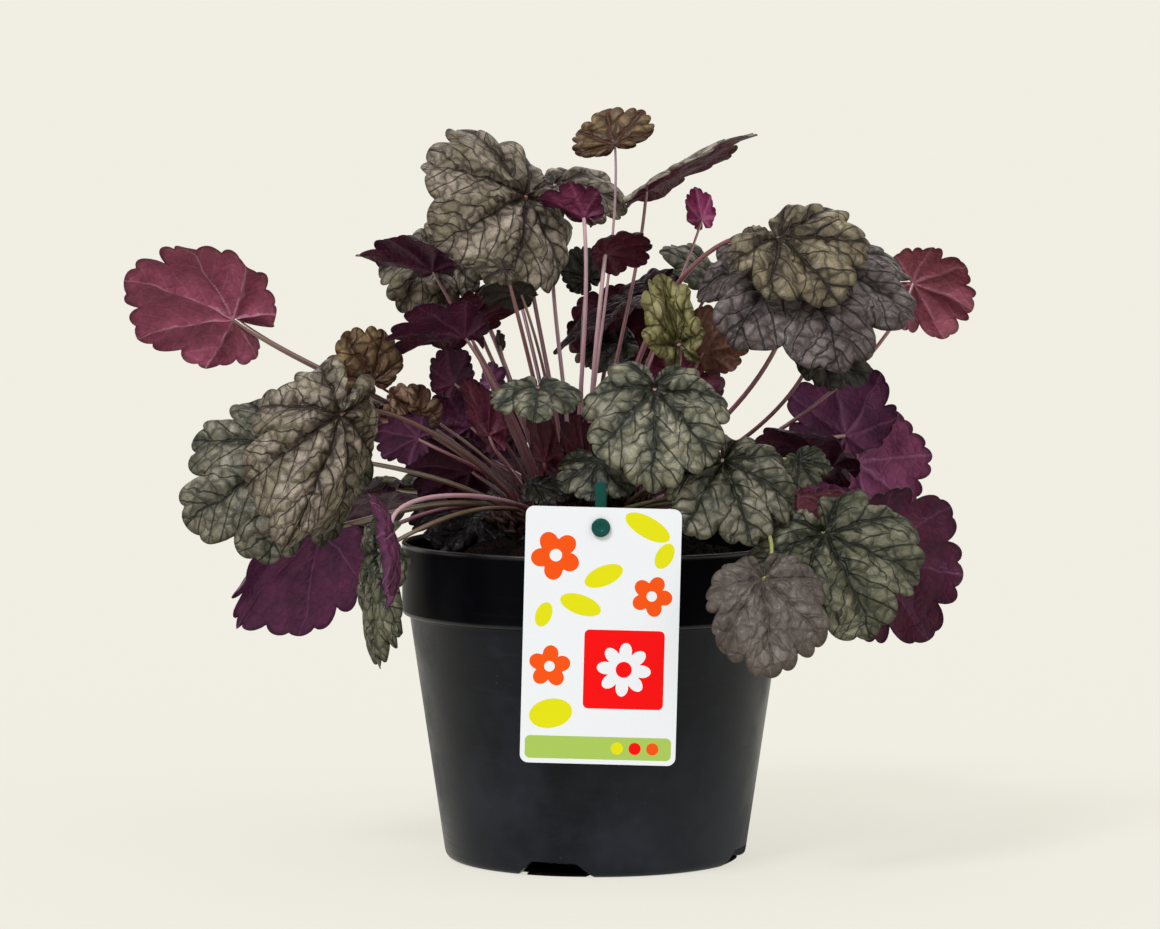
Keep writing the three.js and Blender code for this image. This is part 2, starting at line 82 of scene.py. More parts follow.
def add(tree: NodeTree, kind: str, *inputs: object, **settings: object) -> Node:
    """Adds a node with its settings and links.

    Args:
        tree: The tree that gets the node.
        kind: Blender's name for the node without its family, then a dot and its operation if it needs one.
        inputs: What its open sockets hold, in order: a value, a hex colour, a socket, or a node for its first output.
        settings: Capitalised names are sockets, with _ for a space. The others are the node's own settings.

    Returns:
        The new node.
    """
    kind, _, mode = kind.partition(".")
    node = tree.nodes.new(next(family + kind for family in FAMILIES if hasattr(bpy.types, family + kind)))
    if kind in DATA_TYPES:
        node.data_type = DATA_TYPES[kind]
    if mode:
        setattr(node, MODES.get(kind, "operation"), mode)
    for key, value in settings.items():
        if key[0].islower():
            setattr(node, key, value)
    for i, socket in enumerate([socket for socket in node.inputs if socket.enabled]):
        value = inputs[i] if i < len(inputs) else settings.get(socket.name.replace(" ", "_"))
        if isinstance(value, Node):
            value = next(out for out in value.outputs if out.enabled)
        if isinstance(value, NodeSocket):
            tree.links.new(value, socket)
        elif value is not None:
            socket.default_value = linear(value) if str(value).startswith("#") else value
    return node


# ---- meshes


def place(name: str, data: ID) -> Object:
    """Puts an object with the given data into the scene, at the origin."""
    made = bpy.data.objects.new(name, data)
    bpy.context.scene.collection.objects.link(made)
    return made


def mesh_object(name: str, points: Array, faces: Faces, materials: list[Material]) -> Object:
    """Makes a mesh object from points in millimetres, faces and the materials of its slots."""
    mesh = bpy.data.meshes.new(name)
    mesh.from_pydata((np.asarray(points, float) * MM).tolist(), [], [list(map(int, face)) for face in faces])
    for material in materials:
        mesh.materials.append(material)
    return place(name, mesh)


def smooth(piece: Object, sharp: float) -> None:
    """Shades a piece smooth, with edges sharper than an angle in degrees kept crisp."""
    piece.data.shade_smooth()
    piece.data.set_sharp_from_angle(angle=math.radians(sharp))


def plain_mesh(piece: Object) -> Mesh:
    """Gives the result of an object's modifiers as a mesh of its own."""
    bpy.context.view_layer.update()
    return bpy.data.meshes.new_from_object(piece.evaluated_get(bpy.context.evaluated_depsgraph_get()))


def join(target: Object, other: Object) -> Object:
    """Joins one mesh object into another, which keeps its name and is handed back."""
    both = [target, other]
    with bpy.context.temp_override(active_object=target, object=target, selected_editable_objects=both):
        bpy.ops.object.join()
    return target


def settle(piece: Object, slot: str, *nodes: str) -> None:
    """Hangs a finished piece on the root, hides the plain nodes that it stands for and logs its face count."""
    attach(piece, "root")
    if nodes:
        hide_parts(*nodes)
    LOG.info("%s: %d faces", piece.name, len(piece.data.polygons))


def waves(at: Array, seed: int, steps: tuple[Point, ...]) -> Array:
    """Adds up soft waves in random directions, four for each step, which holds their frequency and height."""
    rng = np.random.default_rng(seed)
    total = np.zeros(len(at))
    for often, high in steps:
        for _ in range(4):
            way = rng.normal(size=at.shape[1])
            total += high / 2 * np.sin(often * at @ (way / np.linalg.norm(way)) + rng.uniform(0, TURN))
    return total


def inside(points: Array, outline: Array) -> Array:
    """Tells which points lie inside a closed flat outline."""
    x, y = points[:, :1], points[:, 1:]
    a, b = outline, np.roll(outline, -1, axis=0)
    level = (a[:, 1] > y) != (b[:, 1] > y)
    with np.errstate(divide="ignore", invalid="ignore"):
        cross = (b[:, 0] - a[:, 0]) * (y - a[:, 1]) / (b[:, 1] - a[:, 1]) + a[:, 0]
    return (level & (x < cross)).sum(axis=1) % 2 == 1


def free_edges(faces: Faces) -> list[tuple[int, int]]:
    """Finds the edges that only one face has, in that face's direction."""
    edges = dict.fromkeys((int(a), int(b)) for face in faces for a, b in zip(face, np.roll(face, -1), strict=True))
    return [(a, b) for a, b in edges if (b, a) not in edges]


def triangulate(outlines: list[Array], lines: Faces, loose: Array) -> tuple[Array, Array]:
    """Joins flat points into triangles that keep every outline and line.

    Args:
        outlines: Closed outlines, whose points come first.
        lines: Chains of point numbers that the triangles must not cross.
        loose: The other points.

    Returns:
        The points and the triangles, counter-clockwise.
    """
    edges, start = [], 0
    for outline in outlines:
        edges += [(start + k, start + (k + 1) % len(outline)) for k in range(len(outline))]
        start += len(outline)
    for chain in lines:
        edges += zip(chain[:-1], chain[1:], strict=True)
    cloud = [Vector(p) for p in np.vstack([*outlines, loose])]
    found = geometry.delaunay_2d_cdt(cloud, edges, [], 0, 1e-7)
    flat, faces = np.array([tuple(p) for p in found[0]]), np.array(found[2])
    a, b, c = flat[faces].transpose(1, 0, 2)
    over = np.cross(b - a, c - a) < 0
    faces[over] = faces[over][:, ::-1]
    return flat, faces


def circle(count: int) -> Array:
    """Points around a flat circle of radius 1."""
    angle = np.linspace(0, TURN, count, endpoint=False)
    return np.column_stack([np.cos(angle), np.sin(angle)])


def rounded(profile: list[Spot], steps: int = 4) -> Array:
    """Rounds the corners of a profile, whose rows hold a radius, a height and the corner's size."""
    rows = np.array(profile, float)
    flat = rows[:, :2]
    made = [flat[:1]]
    for before, here, after, corner in zip(flat[:-2], flat[1:-1], flat[2:], rows[1:-1, 2], strict=True):
        ways = [(end - here, np.linalg.norm(end - here)) for end in (before, after)]
        cut = min(corner, *(0.49 * length for _, length in ways))
        p, q = (here + way / length * cut for way, length in ways)
        t = np.linspace(0, 1, steps + 1)[:, None]
        made.append((1 - t) ** 2 * p + 2 * t * (1 - t) * here + t**2 * q)
    return np.vstack([*made, flat[-1:]])


def turned(profile: Array, segments: int) -> tuple[Array, Faces]:
    """Turns a profile into a closed body with its faces outward.

    Args:
        profile: Radius and height of each point, up the outside and back, from the axis to the axis.
        segments: How many pieces go round.

    Returns:
        The body's points and faces.
    """
    rings = [np.insert(r * circle(segments), 2, z, axis=1) for r, z in profile[1:-1]]
    points = np.vstack([[[0, 0, profile[0][1]]], *rings, [[0, 0, profile[-1][1]]]])
    last, top = len(points) - 1, 1 + (len(rings) - 1) * segments
    faces = []
    for j in range(segments):
        k = (j + 1) % segments
        faces += [[0, 1 + k, 1 + j], [last, top + j, top + k]]
        faces += [[a + j, a + k, a + segments + k, a + segments + j] for a in range(1, top, segments)]
    return points, faces


def prism(outline: Array, near: float, far: float) -> tuple[Array, Faces]:
    """Draws an outline of x and z, counter-clockwise as seen from -Y, out into a closed body between two y."""
    n = len(outline)
    points = np.vstack([np.insert(outline, 1, y, axis=1) for y in (near, far)])
    walls = [[k, n + k, n + (k + 1) % n, (k + 1) % n] for k in range(n)]
    return points, [list(range(n)), [n + k for k in reversed(range(n))], *walls]


def turn_about_z(points: Array, degrees: float) -> Array:
    """Turns points about the Z axis."""
    c, s = math.cos(math.radians(degrees)), math.sin(math.radians(degrees))
    return points @ np.array([[c, s, 0], [-s, c, 0], [0, 0, 1]])


@dataclass
class NodeShape:
    """A Geometry Nodes tree with named inputs, run on a curve or mesh and turned into its plain result."""

    name: str
    floats: tuple[str, ...] = ()
    whole: str = ""
    tree: NodeTree = field(init=False)
    put: Put = field(init=False)
    wanted: dict[str, NodeSocket] = field(init=False)

    def __post_init__(self) -> None:
        """Makes the tree with its inputs and its one output."""
        self.tree = bpy.data.node_groups.new(self.name, "GeometryNodeTree")
        floats = dict.fromkeys(self.floats, "Float")
        for name, kind in {"Geometry": "Geometry", **floats, self.whole: "Int", "Material": "Material"}.items():
            self.tree.interface.new_socket(name=name, in_out="INPUT", socket_type="NodeSocket" + kind)
        self.tree.interface.new_socket(name="Geometry", in_out="OUTPUT", socket_type="NodeSocketGeometry")
        self.put = partial(add, self.tree)
        self.wanted = dict(self.put("GroupInput").outputs.items())

    def end(self, shape: Node) -> None:
        """Ends the tree after a node: real geometry, shaded smooth, in the material that was asked for."""
        soft = self.put("SetShadeSmooth", self.put("RealizeInstances", shape))
        self.put("GroupOutput", self.put("SetMaterial", soft, Material=self.wanted["Material"]))

    def run(self, data: ID, name: str, **values: object) -> Object:
        """Runs the tree and gives the result as a plain mesh object.

        Args:
            data: The curve or mesh that the tree starts from.
            name: The new object's name.
            values: A value for each named input.

        Returns:
            The new mesh object.
        """
        carrier = place("carrier", data)
        modifier = carrier.modifiers.new(self.name, "NODES")
        modifier.node_group = self.tree
        for item in self.tree.interface.items_tree:
            if item.in_out == "INPUT" and item.name in values:
                modifier[item.identifier] = values[item.name]
        made = place(name, plain_mesh(carrier))
        bpy.data.objects.remove(carrier)
        return made


@dataclass
class Strewing(NodeShape):
    """A small shape set all over the upper part of a surface."""

    floats: tuple[str, ...] = ("Density", "Size", "Lowest")
    whole: str = "Seed"
    spots: Node = field(init=False)

    def __post_init__(self) -> None:
        """Starts the tree with points on the surface above the lowest height."""
        super().__post_init__()
        geometry_in, density, _, lowest, seed, *_ = self.wanted.values()
        high = self.put("SeparateXYZ", self.put("InputPosition")).outputs[2]
        upper = self.put("Compare.GREATER_THAN", high, lowest)
        self.spots = self.put("DistributePointsOnFaces", geometry_in, upper, density, seed)

    def any_of(self, low: Spot, high: Spot) -> Node:
        """Adds a random vector between two others, one for each point."""
        return self.put("RandomValue", low, high, Seed=self.wanted["Seed"])

    def lay(self, shape: Node, turn: Node, low: Spot, high: Spot) -> None:
        """Ends the tree with turned copies of a shape, of a share of the size between two along each axis."""
        sizes = self.put("VectorMath.SCALE", self.any_of(low, high), Scale=self.wanted["Size"])
        copies = self.put("InstanceOnPoints", Points=self.spots, Instance=shape, Rotation=turn, Scale=sizes)
        self.end(copies)


# ---- finishes

VEIN_GAP = 9.0  # between side veins
VEIN_SLANT = 0.9  # how far side veins lean towards the tip, for each millimetre away from the rib


@dataclass(frozen=True)
class Finish:
    """What a surface is made of. Each kind adds its own nodes."""

    name: str

    def look(self, put: Put) -> Look:
        """Adds the nodes and gives the shader's inputs."""
        raise NotImplementedError

    @cache
    def material(self) -> Material:
        """Gives the material, built on first use."""
        made = bpy.data.materials.new(self.name)
        made.use_nodes = True
        made.node_tree.nodes.clear()
        put = partial(add, made.node_tree)
        put("OutputMaterial", put("BsdfPrincipled", **self.look(put)))
        return made


@dataclass(frozen=True)
class LeafSkin(Finish):
    """One side of a living leaf: a thin waxy cuticle over silvered or flushed flesh, and its veins.

    Ribs and side veins follow each lobe, and the net between them has cells some 5 mm wide, all at their real size.
    The eye reads a dark mesh on a silvery ground from above, and pale raised ribs on wine red from below.
    """

    tints: str  # ground, its other tone, shade, veins, net and margin
    rib: float = 0.95
    side: float = 0.85
    mesh: float = 0.7
    fine: float = 0.3
    halo: float = 0.75
    reach: float = 6.5
    deep: float = 0.4
    cell: float = 6.0
    roughness: float = 0.42
    raised: float = -1.0
    grain: float = 0.75

    def look(self, put: Put) -> Look:
        """Adds the nodes and gives the shader's inputs."""
        ground, other, shade, vein, mesh, margin = self.tints.split()
        flat = put("UVMap", uv_map="flat")
        along, beside, inward = put("SeparateXYZ", put("Attribute", attribute_name="rib").outputs["Vector"]).outputs
        # One unit of the flat map is 100 mm. Two sizes of wander keep every vein from running straight.
        broad = put("TexNoise", flat, Scale=9.0, Detail=2.0)
        tight = put("TexNoise", flat, Scale=34.0, Detail=1.0)
        moved = put("VectorMath.MULTIPLY_ADD", broad.outputs[1], (0.07, 0.07, 0.0), flat)
        moved = put("VectorMath.MULTIPLY_ADD", tight.outputs[1], (0.02, 0.02, 0.0), moved)
        sway = put("MapRange", broad, 0.3, 0.7, -3.0, 3.0)
        away = put("Math.ABSOLUTE", put("Math.MULTIPLY_ADD", sway, 0.35, beside))
        # The ribs are about 1.6 mm wide at the stalk and thin out towards the tip of each lobe.
        thin = put("Math.MULTIPLY", away, put("MapRange", along, 0.0, 60.0, 0.8, 2.6))
        ribs = put("MapRange.SMOOTHSTEP", thin, 0.3, 1.15, self.rib, 0.0)
        # Side veins leave the ribs by turns left and right, and bend forward.
        bend, right = put("Math.POWER", away, 2.0), put("Math.GREATER_THAN", beside, 0.0)
        ahead = along
        for part, share in ((bend, -0.016), (away, -VEIN_SLANT), (right, VEIN_GAP / 2), (sway, 0.7)):
            ahead = put("Math.MULTIPLY_ADD", part, share, ahead)
        step = put("Math.PINGPONG", put("Math.DIVIDE", ahead, VEIN_GAP), 0.5)
        sides = put("MapRange.SMOOTHSTEP", step, 0.02, 0.085, self.side, 0.0)
        cells, small = (
            put("TexVoronoi", moved, voronoi_dimensions="2D", feature="DISTANCE_TO_EDGE", Scale=scale / self.cell)
            for scale in (100, 220)
        )
        net = put("MapRange.SMOOTHSTEP", cells, 0.005, 0.062, self.mesh, 0.0)
        net = put("Math.MAXIMUM", net, put("MapRange.SMOOTHSTEP", small, 0.01, 0.12, self.fine, 0.0))
        veins = put("Math.MAXIMUM", ribs, sides)
        # The ground drifts between two tones, a little darker cell by cell, and is smoky beside the ribs at the stalk.
        drift = put("MapRange", put("TexNoise", flat, Scale=5.5, Detail=5.0, Roughness=0.62), 0.38, 0.64)
        tint = put("TexVoronoi", moved, voronoi_dimensions="2D", Scale=100 / self.cell).outputs["Color"]
        near = put("MapRange.SMOOTHSTEP", away, 0.0, self.reach, self.halo, 0.0)
        smoke = put("Math.MULTIPLY", near, put("MapRange", along, 4.0, 55.0, 1.0, 0.3))
        smoke = put("Math.MULTIPLY_ADD", put("SeparateColor", tint), 0.3, smoke)
        edges = put("MapRange.SMOOTHSTEP", cells, 0.0, 0.34, self.deep, 0.0)
        smoke = put("Math.ADD", smoke, edges, use_clamp=True)
        rim = put("MapRange", inward, 0.0, 3.0, 0.8, 0.0)
        colour = ground
        for share, over in ((drift, other), (smoke, shade), (rim, margin), (net, mesh), (veins, vein)):
            colour = put("Mix", share, colour, over)
        rough = put("MapRange", net, 0.0, 1.0, self.roughness, self.roughness + 0.15)
        # Each cell of the net is puffed up a little, with the veins sunk or raised.
        relief = put("Math.MULTIPLY_ADD", veins, self.raised, put("MapRange.SMOOTHSTEP", cells, 0.0, 0.3))
        bump = put("Bump", Strength=self.grain, Distance=0.0008, Height=relief)
        return {"Base_Color": colour, "Roughness": rough, "IOR": 1.45, "Specular_IOR_Level": 0.22, "Normal": bump}


@dataclass(frozen=True)
class StalkSkin(Finish):
    """A juicy leaf stalk: a smooth glossy skin, flushed at the crown and paler towards the blade."""

    tints: str  # foot, middle and head

    def look(self, put: Put) -> Look:
        """Adds the nodes and gives the shader's inputs."""
        foot, middle, head = self.tints.split()
        along = put("SeparateXYZ", put("Attribute", attribute_name="rib").outputs["Vector"])
        streak = put("TexNoise", put("TexCoord").outputs["Object"], Scale=160.0, Detail=2.0)
        spread = put("Math.MULTIPLY_ADD", streak, 0.35, along)
        colour = put("Mix", put("MapRange", spread, 0.15, 0.5), foot, middle)
        colour = put("Mix", put("MapRange", spread, 0.6, 1.15), colour, head)
        bump = put("Bump", Strength=0.15, Distance=0.0004, Height=streak)
        return {"Base_Color": colour, "Roughness": 0.3, "IOR": 1.5, "Specular_IOR_Level": 1.0, "Normal": bump}


@dataclass(frozen=True)
class MouldedPolypropylene(Finish):
    """Black injection-moulded polypropylene: an even satin skin, dulled by handling and by dust from the nursery, with
    painted shade on its collar and highlight lines along its edges.
    """

    # The collar's tint, darker than the skin, is painted shade for the leaves that hang over it.
    tints: str = "#080a10 #0c1019 #2c3038 #060609"  # skin, its other tone, dust and collar
    step: float = 0.108  # height of the collar's lower edge in metres
    rim: float = 0.1392

    def look(self, put: Put) -> Look:
        """Adds the nodes and gives the shader's inputs."""
        skin, other, dust, collar = self.tints.split()
        spot = put("TexCoord").outputs["Object"]
        cloud = put("TexNoise", spot, Scale=22.0, Detail=5.0, Roughness=0.62)
        grain = put("TexNoise", spot, Scale=900.0, Detail=2.0)
        level = put("Mapping", spot, Scale=(9.0, 9.0, 160.0))
        wiped = put("TexNoise", level, Scale=2.2, Detail=6.0, Roughness=0.7)
        specks = put("TexVoronoi", spot, Scale=330.0)
        # Dust gathers low on the wall, in patches, and thins out towards the collar. On the collar it is cut to a
        # fifth, which together with the collar's darker tint paints the shade of the leaves above it.
        high = put("SeparateXYZ", spot).outputs[2]
        low, above = self.step - 0.001, self.step + 0.001
        upper = put("MapRange", high, low, above)
        patchy = put("Math", cloud, put("MapRange", high, 0.0, 0.13, 0.13, -0.04))
        dusty = put("MapRange", patchy, 0.5, 0.8, 0.0, 0.5)
        streaks = put("MapRange", wiped, 0.56, 0.74, 0.0, 0.3)
        chosen = put("MapRange", put("SeparateColor", specks.outputs["Color"]), 0.91, 0.93)
        speck = put("Math.MULTIPLY", put("MapRange", specks, 0.1, 0.2, 0.7, 0.0), chosen)
        dirt = put("Math.MAXIMUM", put("Math.MAXIMUM", dusty, streaks), speck)
        dirt = put("Math.MULTIPLY", dirt, put("MapRange", high, low, above, 1.0, 0.2))
        colour = put("Mix", cloud, skin, other)
        # The collar gets its darker tint, which is painted shade, and then the dust.
        for share, over in ((upper, collar), (dirt, dust)):
            colour = put("Mix", share, colour, over)
        # The collar's weaker reflection is painted shade too. Narrow strips at the rim and at the collar's lower edge
        # reflect more strongly, to draw highlight lines there.
        rim = put("MapRange", high, self.rim - 0.0014, self.rim, 0.0, 0.5)
        off = put("Math.ABSOLUTE", put("Math.SUBTRACT", high, above))
        rubbed = put("Math", rim, put("MapRange", off, 0.0004, 0.0012, 0.3, 0.0))
        shine = put("Math", put("MapRange", upper, 0.0, 1.0, 0.17, 0.02), rubbed)
        rough = put("MapRange", dirt, 0.0, 0.5, 0.33, 0.62)
        bump = put("Bump", Strength=0.12, Distance=0.0006, Height=put("Math.MULTIPLY_ADD", grain, 0.35, cloud))
        return {"Base_Color": colour, "Roughness": rough, "IOR": 1.49, "Specular_IOR_Level": shine, "Normal": bump}


@dataclass(frozen=True)
class PottingSoil(Finish):
    """Moist peat and composted bark: dark, matt, with crumbs of every shade of brown."""

    dark: str
    light: str
    size: float

    def look(self, put: Put) -> Look:
        """Adds the nodes and gives the shader's inputs."""
        spot = put("TexCoord").outputs["Object"]
        crumbs = put("TexVoronoi", spot, Scale=1000 / self.size)
        fine = put("TexNoise", spot, Scale=700.0, Detail=4.0)
        shade = put("Math.MULTIPLY", put("SeparateColor", crumbs.outputs["Color"]), fine)
        colour = put("Mix", put("MapRange", shade, 0.1, 0.6), self.dark, self.light)
        bump = put("Bump", Strength=0.8, Distance=0.0015, Height=put("Math.SUBTRACT", fine, crumbs))
        return {"Base_Color": colour, "Roughness": 0.95, "Specular_IOR_Level": 0.05, "Normal": bump}


@dataclass(frozen=True)
class WoodyCrown(Finish):
    """A heuchera's rootstock: corky bark under papery brown scales left by old leaves."""

    bark: str
    paper: str
    roughness: float

    def look(self, put: Put) -> Look:
        """Adds the nodes and gives the shader's inputs."""
        spot = put("TexCoord").outputs["Object"]
        drawn = put("Mapping", spot, Scale=(1.0, 1.0, 0.35))
        fibre = put("TexNoise", drawn, Scale=420.0, Detail=5.0, Roughness=0.7)
        blend = put("Math.MULTIPLY", fibre, put("TexNoise", spot, Scale=90.0))
        colour = put("Mix", put("MapRange", blend, 0.15, 0.38), self.bark, self.paper)
        bump = put("Bump", Strength=0.7, Distance=0.0012, Height=fibre)
        return {"Base_Color": colour, "Roughness": self.roughness, "Specular_IOR_Level": 0.3, "Normal": bump}


@dataclass(frozen=True)
class MouldedStyrene(Finish):
    """Green injection-moulded polystyrene, as on plant stakes: glossy, faintly mottled where the melt met."""

    body: str = "#073a33"
    swirl: str = "#0a4840"

    def look(self, put: Put) -> Look:
        """Adds the nodes and gives the shader's inputs."""
        mottle = put("TexNoise", put("TexCoord").outputs["Object"], Scale=240.0, Detail=3.0)
        colour = put("Mix", mottle, self.body, self.swirl)
        bump = put("Bump", Strength=0.08, Distance=0.0005, Height=mottle)
        return {"Base_Color": colour, "Roughness": 0.28, "IOR": 1.57, "Specular_IOR_Level": 0.1, "Normal": bump}


@dataclass(frozen=True)
class PrintedCard(Finish):
    """Offset ink on a laminated white plastic card: flat bright colour under a smooth film, with slight ripples."""

    ink: str

    def look(self, put: Put) -> Look:
        """Adds the nodes and gives the shader's inputs."""
        spot = put("TexCoord").outputs["Object"]
        dots = put("MapRange", put("TexNoise", spot, Scale=2600.0, Detail=1.0), 0.3, 0.7, 0.93, 1.0)
        ripple = put("TexNoise", spot, Scale=28.0)
        colour = put("Mix.MULTIPLY", 1.0, self.ink, dots)
        rough = put("MapRange", ripple, 0.0, 1.0, 0.26, 0.36)
        bump = put("Bump", Strength=0.1, Distance=0.002, Height=ripple)
        return {"Base_Color": colour, "Roughness": rough, "IOR": 1.5, "Specular_IOR_Level": 0.12, "Normal": bump}


@dataclass(frozen=True)
class StudioSheet(Finish):
    """Matt translucent background paper, evenly coloured and also lit from behind, so that shadows on it are faint."""

    shade: tuple[float, ...]
    glow: tuple[float, ...]

    def look(self, put: Put) -> Look:
        """Gives the shader's inputs."""
        lit = {"Emission_Color": self.glow, "Emission_Strength": 1.0}
        return {"Base_Color": self.shade, "Roughness": 0.9, "Specular_IOR_Level": 0.0, **lit}


class Tone(Enum):
    """The material slot of a leaf in the parts record."""

    SILVER = "leaf_silver"
    GREEN = "leaf_green"
    BRONZE = "leaf_bronze"
    MAROON = "leaf_maroon"
    PURPLE = "leaf_purple"


@dataclass(frozen=True)
class Underside(LeafSkin):
    """The underside of a leaf: matt and even, with the ribs raised and a little paler, and a barely seen net."""

    rib: float = 0.32
    side: float = 0.08
    mesh: float = 0.1
    fine: float = 0.06
    halo: float = 0.1
    deep: float = 0.06
    cell: float = 3.6
    roughness: float = 0.5
    raised: float = 1.0
    grain: float = 0.28


class Upper(Enum):
    """How the upper side of a leaf looks, from its age and the light it has had. Two darkened copies are painted shade
    for leaves deep in the clump.
    """

    SILVER = LeafSkin("silver leaf", "#9c8f80 #666048 #372e25 #1e1610 #271d16 #3b3328")
    DUSK = LeafSkin("dusky silver leaf", "#756a67 #433936 #211a18 #140d0b #1a1210 #2a211f", halo=0.85, reach=9.0)
    GREEN = LeafSkin("grey-green leaf", "#888270 #525041 #2b2b20 #191a10 #212217 #31321f")
    SAGE = LeafSkin("sage-green leaf", "#918c77 #65634f #31322a #1e2016 #27281d #3a3c28")
    MOSS = LeafSkin("mossy leaf", "#7a7661 #484734 #26281b #14160d #1b1d12 #2c2f1c")
    OLIVE = LeafSkin("olive leaf", "#94886d #5d533f #30281b #1a130b #21180f #38321f")
    LIME = LeafSkin("yellowing leaf", "#9c9570 #8f8850 #585231 #403c1e #4a4526 #5c5630", mesh=0.45, fine=0.15)
    BRONZE = LeafSkin("bronze leaf", "#968055 #6a5238 #40301f #3a2014 #33200f #3e2a18")
    ROSY = LeafSkin("rosy bronze leaf", "#b89a80 #8a6e58 #573e2e #3a241b #3a241b #4a2f22")
    # A darkened olive copy: painted shade for leaves that lie in shade among the others.
    UMBER = LeafSkin("shaded leaf", "#3f3a2f #2a251d #1a1712 #110e0a #15120d #1e1b14", mesh=0.4, deep=0.2)
    TAUPE = LeafSkin(
        "taupe leaf", "#6c645c #4d453f #3b322d #423a34 #322b27 #3c332d",
        rib=0.6, side=0.4, mesh=0.35, halo=0.3, deep=0.3,
    )
    PLUM = LeafSkin("plum leaf", "#3c1e29 #2c1622 #1f0d17 #14070d #170910 #260d16", mesh=0.4, deep=0.2)
    # A near-black copy: painted shade for the low leaves over the pot's rim.
    NIGHT = LeafSkin("deeply shaded leaf", "#1d1013 #140b0f #0e080b #0a0608 #0c0709 #140a0e", mesh=0.3, deep=0.2)
    MAGENTA = LeafSkin(
        "young leaf", "#5c2548 #431b37 #311326 #6e3a58 #2b1022 #3b1228",
        mesh=0.15, side=0.3, fine=0.1, deep=0.1, roughness=0.36,
    )


class Lower(Enum):
    """How the underside of a leaf looks."""

    MAROON = Underside("maroon underside", "#8d445a #6f3044 #54202f #b88a96 #54202f #421822")
    WINE = Underside("wine underside", "#541a2c #380f1c #280a14 #6a3040 #280a14 #280c14")
    VIOLET = Underside("violet underside", "#8f496d #683052 #552648 #a8739a #512144 #4c1e3b")
    DAMSON = Underside("damson underside", "#6a3056 #44203c #35182f #8a5578 #301429 #2c1226")
    GARNET = Underside("garnet underside", "#742a48 #4c1c32 #36142a #8a4a66 #36142a #301226")
    PURPLE = Underside("purple underside", "#4c1930 #321025 #270c1d #683650 #250b1b #250c1b")
    ROSE = Underside("rose underside", "#85434f #652f38 #55242c #a06a74 #5b262f #4a1f26")
    CERISE = Underside("cerise underside", "#b44480 #8a2c5c #5b1834 #d08ab0 #5b1834 #5b1834")
    SHADE = Underside("shaded underside", "#2c2621 #1d1815 #15110f #3c322c #15110f #15110f")
    RUSSET = Underside(
        "russet underside", "#6b4a3a #553628 #42241b #86604c #42241b #42241b", side=0.35, mesh=0.35, deep=0.3
    )


class Stalk(Enum):
    """How the stalk of a leaf looks."""

    ROSE = StalkSkin("rose stalk", "#4c1826 #68343e #805154")
    # A lighter copy of the rose stalk: painted light for stalks that catch the lamp.
    PALE = StalkSkin("pale stalk", "#5c2a38 #9a7078 #b49498")
    RUSSET = StalkSkin("russet stalk", "#3c1c1c #55322a #5c3e30")
    STRAW = StalkSkin("straw stalk", "#3a241a #5a4632 #6c5842")
    LIME = StalkSkin("lime stalk", "#5a4a32 #727042 #868a4a")


class Ink(Enum):
    """The inks of the label, in the order of its material slots."""

    WHITE = PrintedCard("white card", "#d4d6d7")
    ORANGE = PrintedCard("orange ink", "#dc4a08")
    LIME = PrintedCard("lime ink", "#cbc80c")
    RED = PrintedCard("red ink", "#dc0204")
    MINT = PrintedCard("mint ink", "#98b250")


# ---- leaves


def numbers(text: str) -> float | tuple[float, ...]:
    """Reads one number, or several with commas between them."""
    found = tuple(map(float, text.split(",")))
    return found if len(found) > 1 else found[0]


@dataclass(frozen=True)
class Leaf:
    """One leaf: where its stalk meets the blade, where its midrib ends, which way it looks and how it is bent."""

    at: Spot
    tip: Spot
    face: Spot
    tone: Tone
    upper: Upper
    lower: Lower = Lower.PURPLE
    stalk: Stalk = Stalk.ROSE
    cup: float = 0.0  # degrees that the blade droops all round
    fold: float = 0.0  # degrees that each half rises about the midrib
    wide: float = 1.0
    back: float = 0.3  # length behind the stalk, as a share of the length in front
    rise: float = 0.3  # how steeply the stalk leaves the crown
    bow: Spot = (0.0, 0.0, 0.0)  # how far the stalk is bowed
    calm: float = 1.0  # how much of the usual ruffling it has

    @classmethod
    def read(cls, row: str) -> "Leaf":
        """Reads a leaf from its row of a table: three points, its two to four looks and how it is bent."""
        at, tip, face, names, *bends = row.split()
        looks = [kind[name] for kind, name in zip((Tone, Upper, Lower, Stalk), names.split("/"), strict=False)]
        bent = {name: numbers(size) for name, size in (bend.split("=") for bend in bends)}
        return cls(*map(numbers, (at, tip, face)), *looks, **bent)


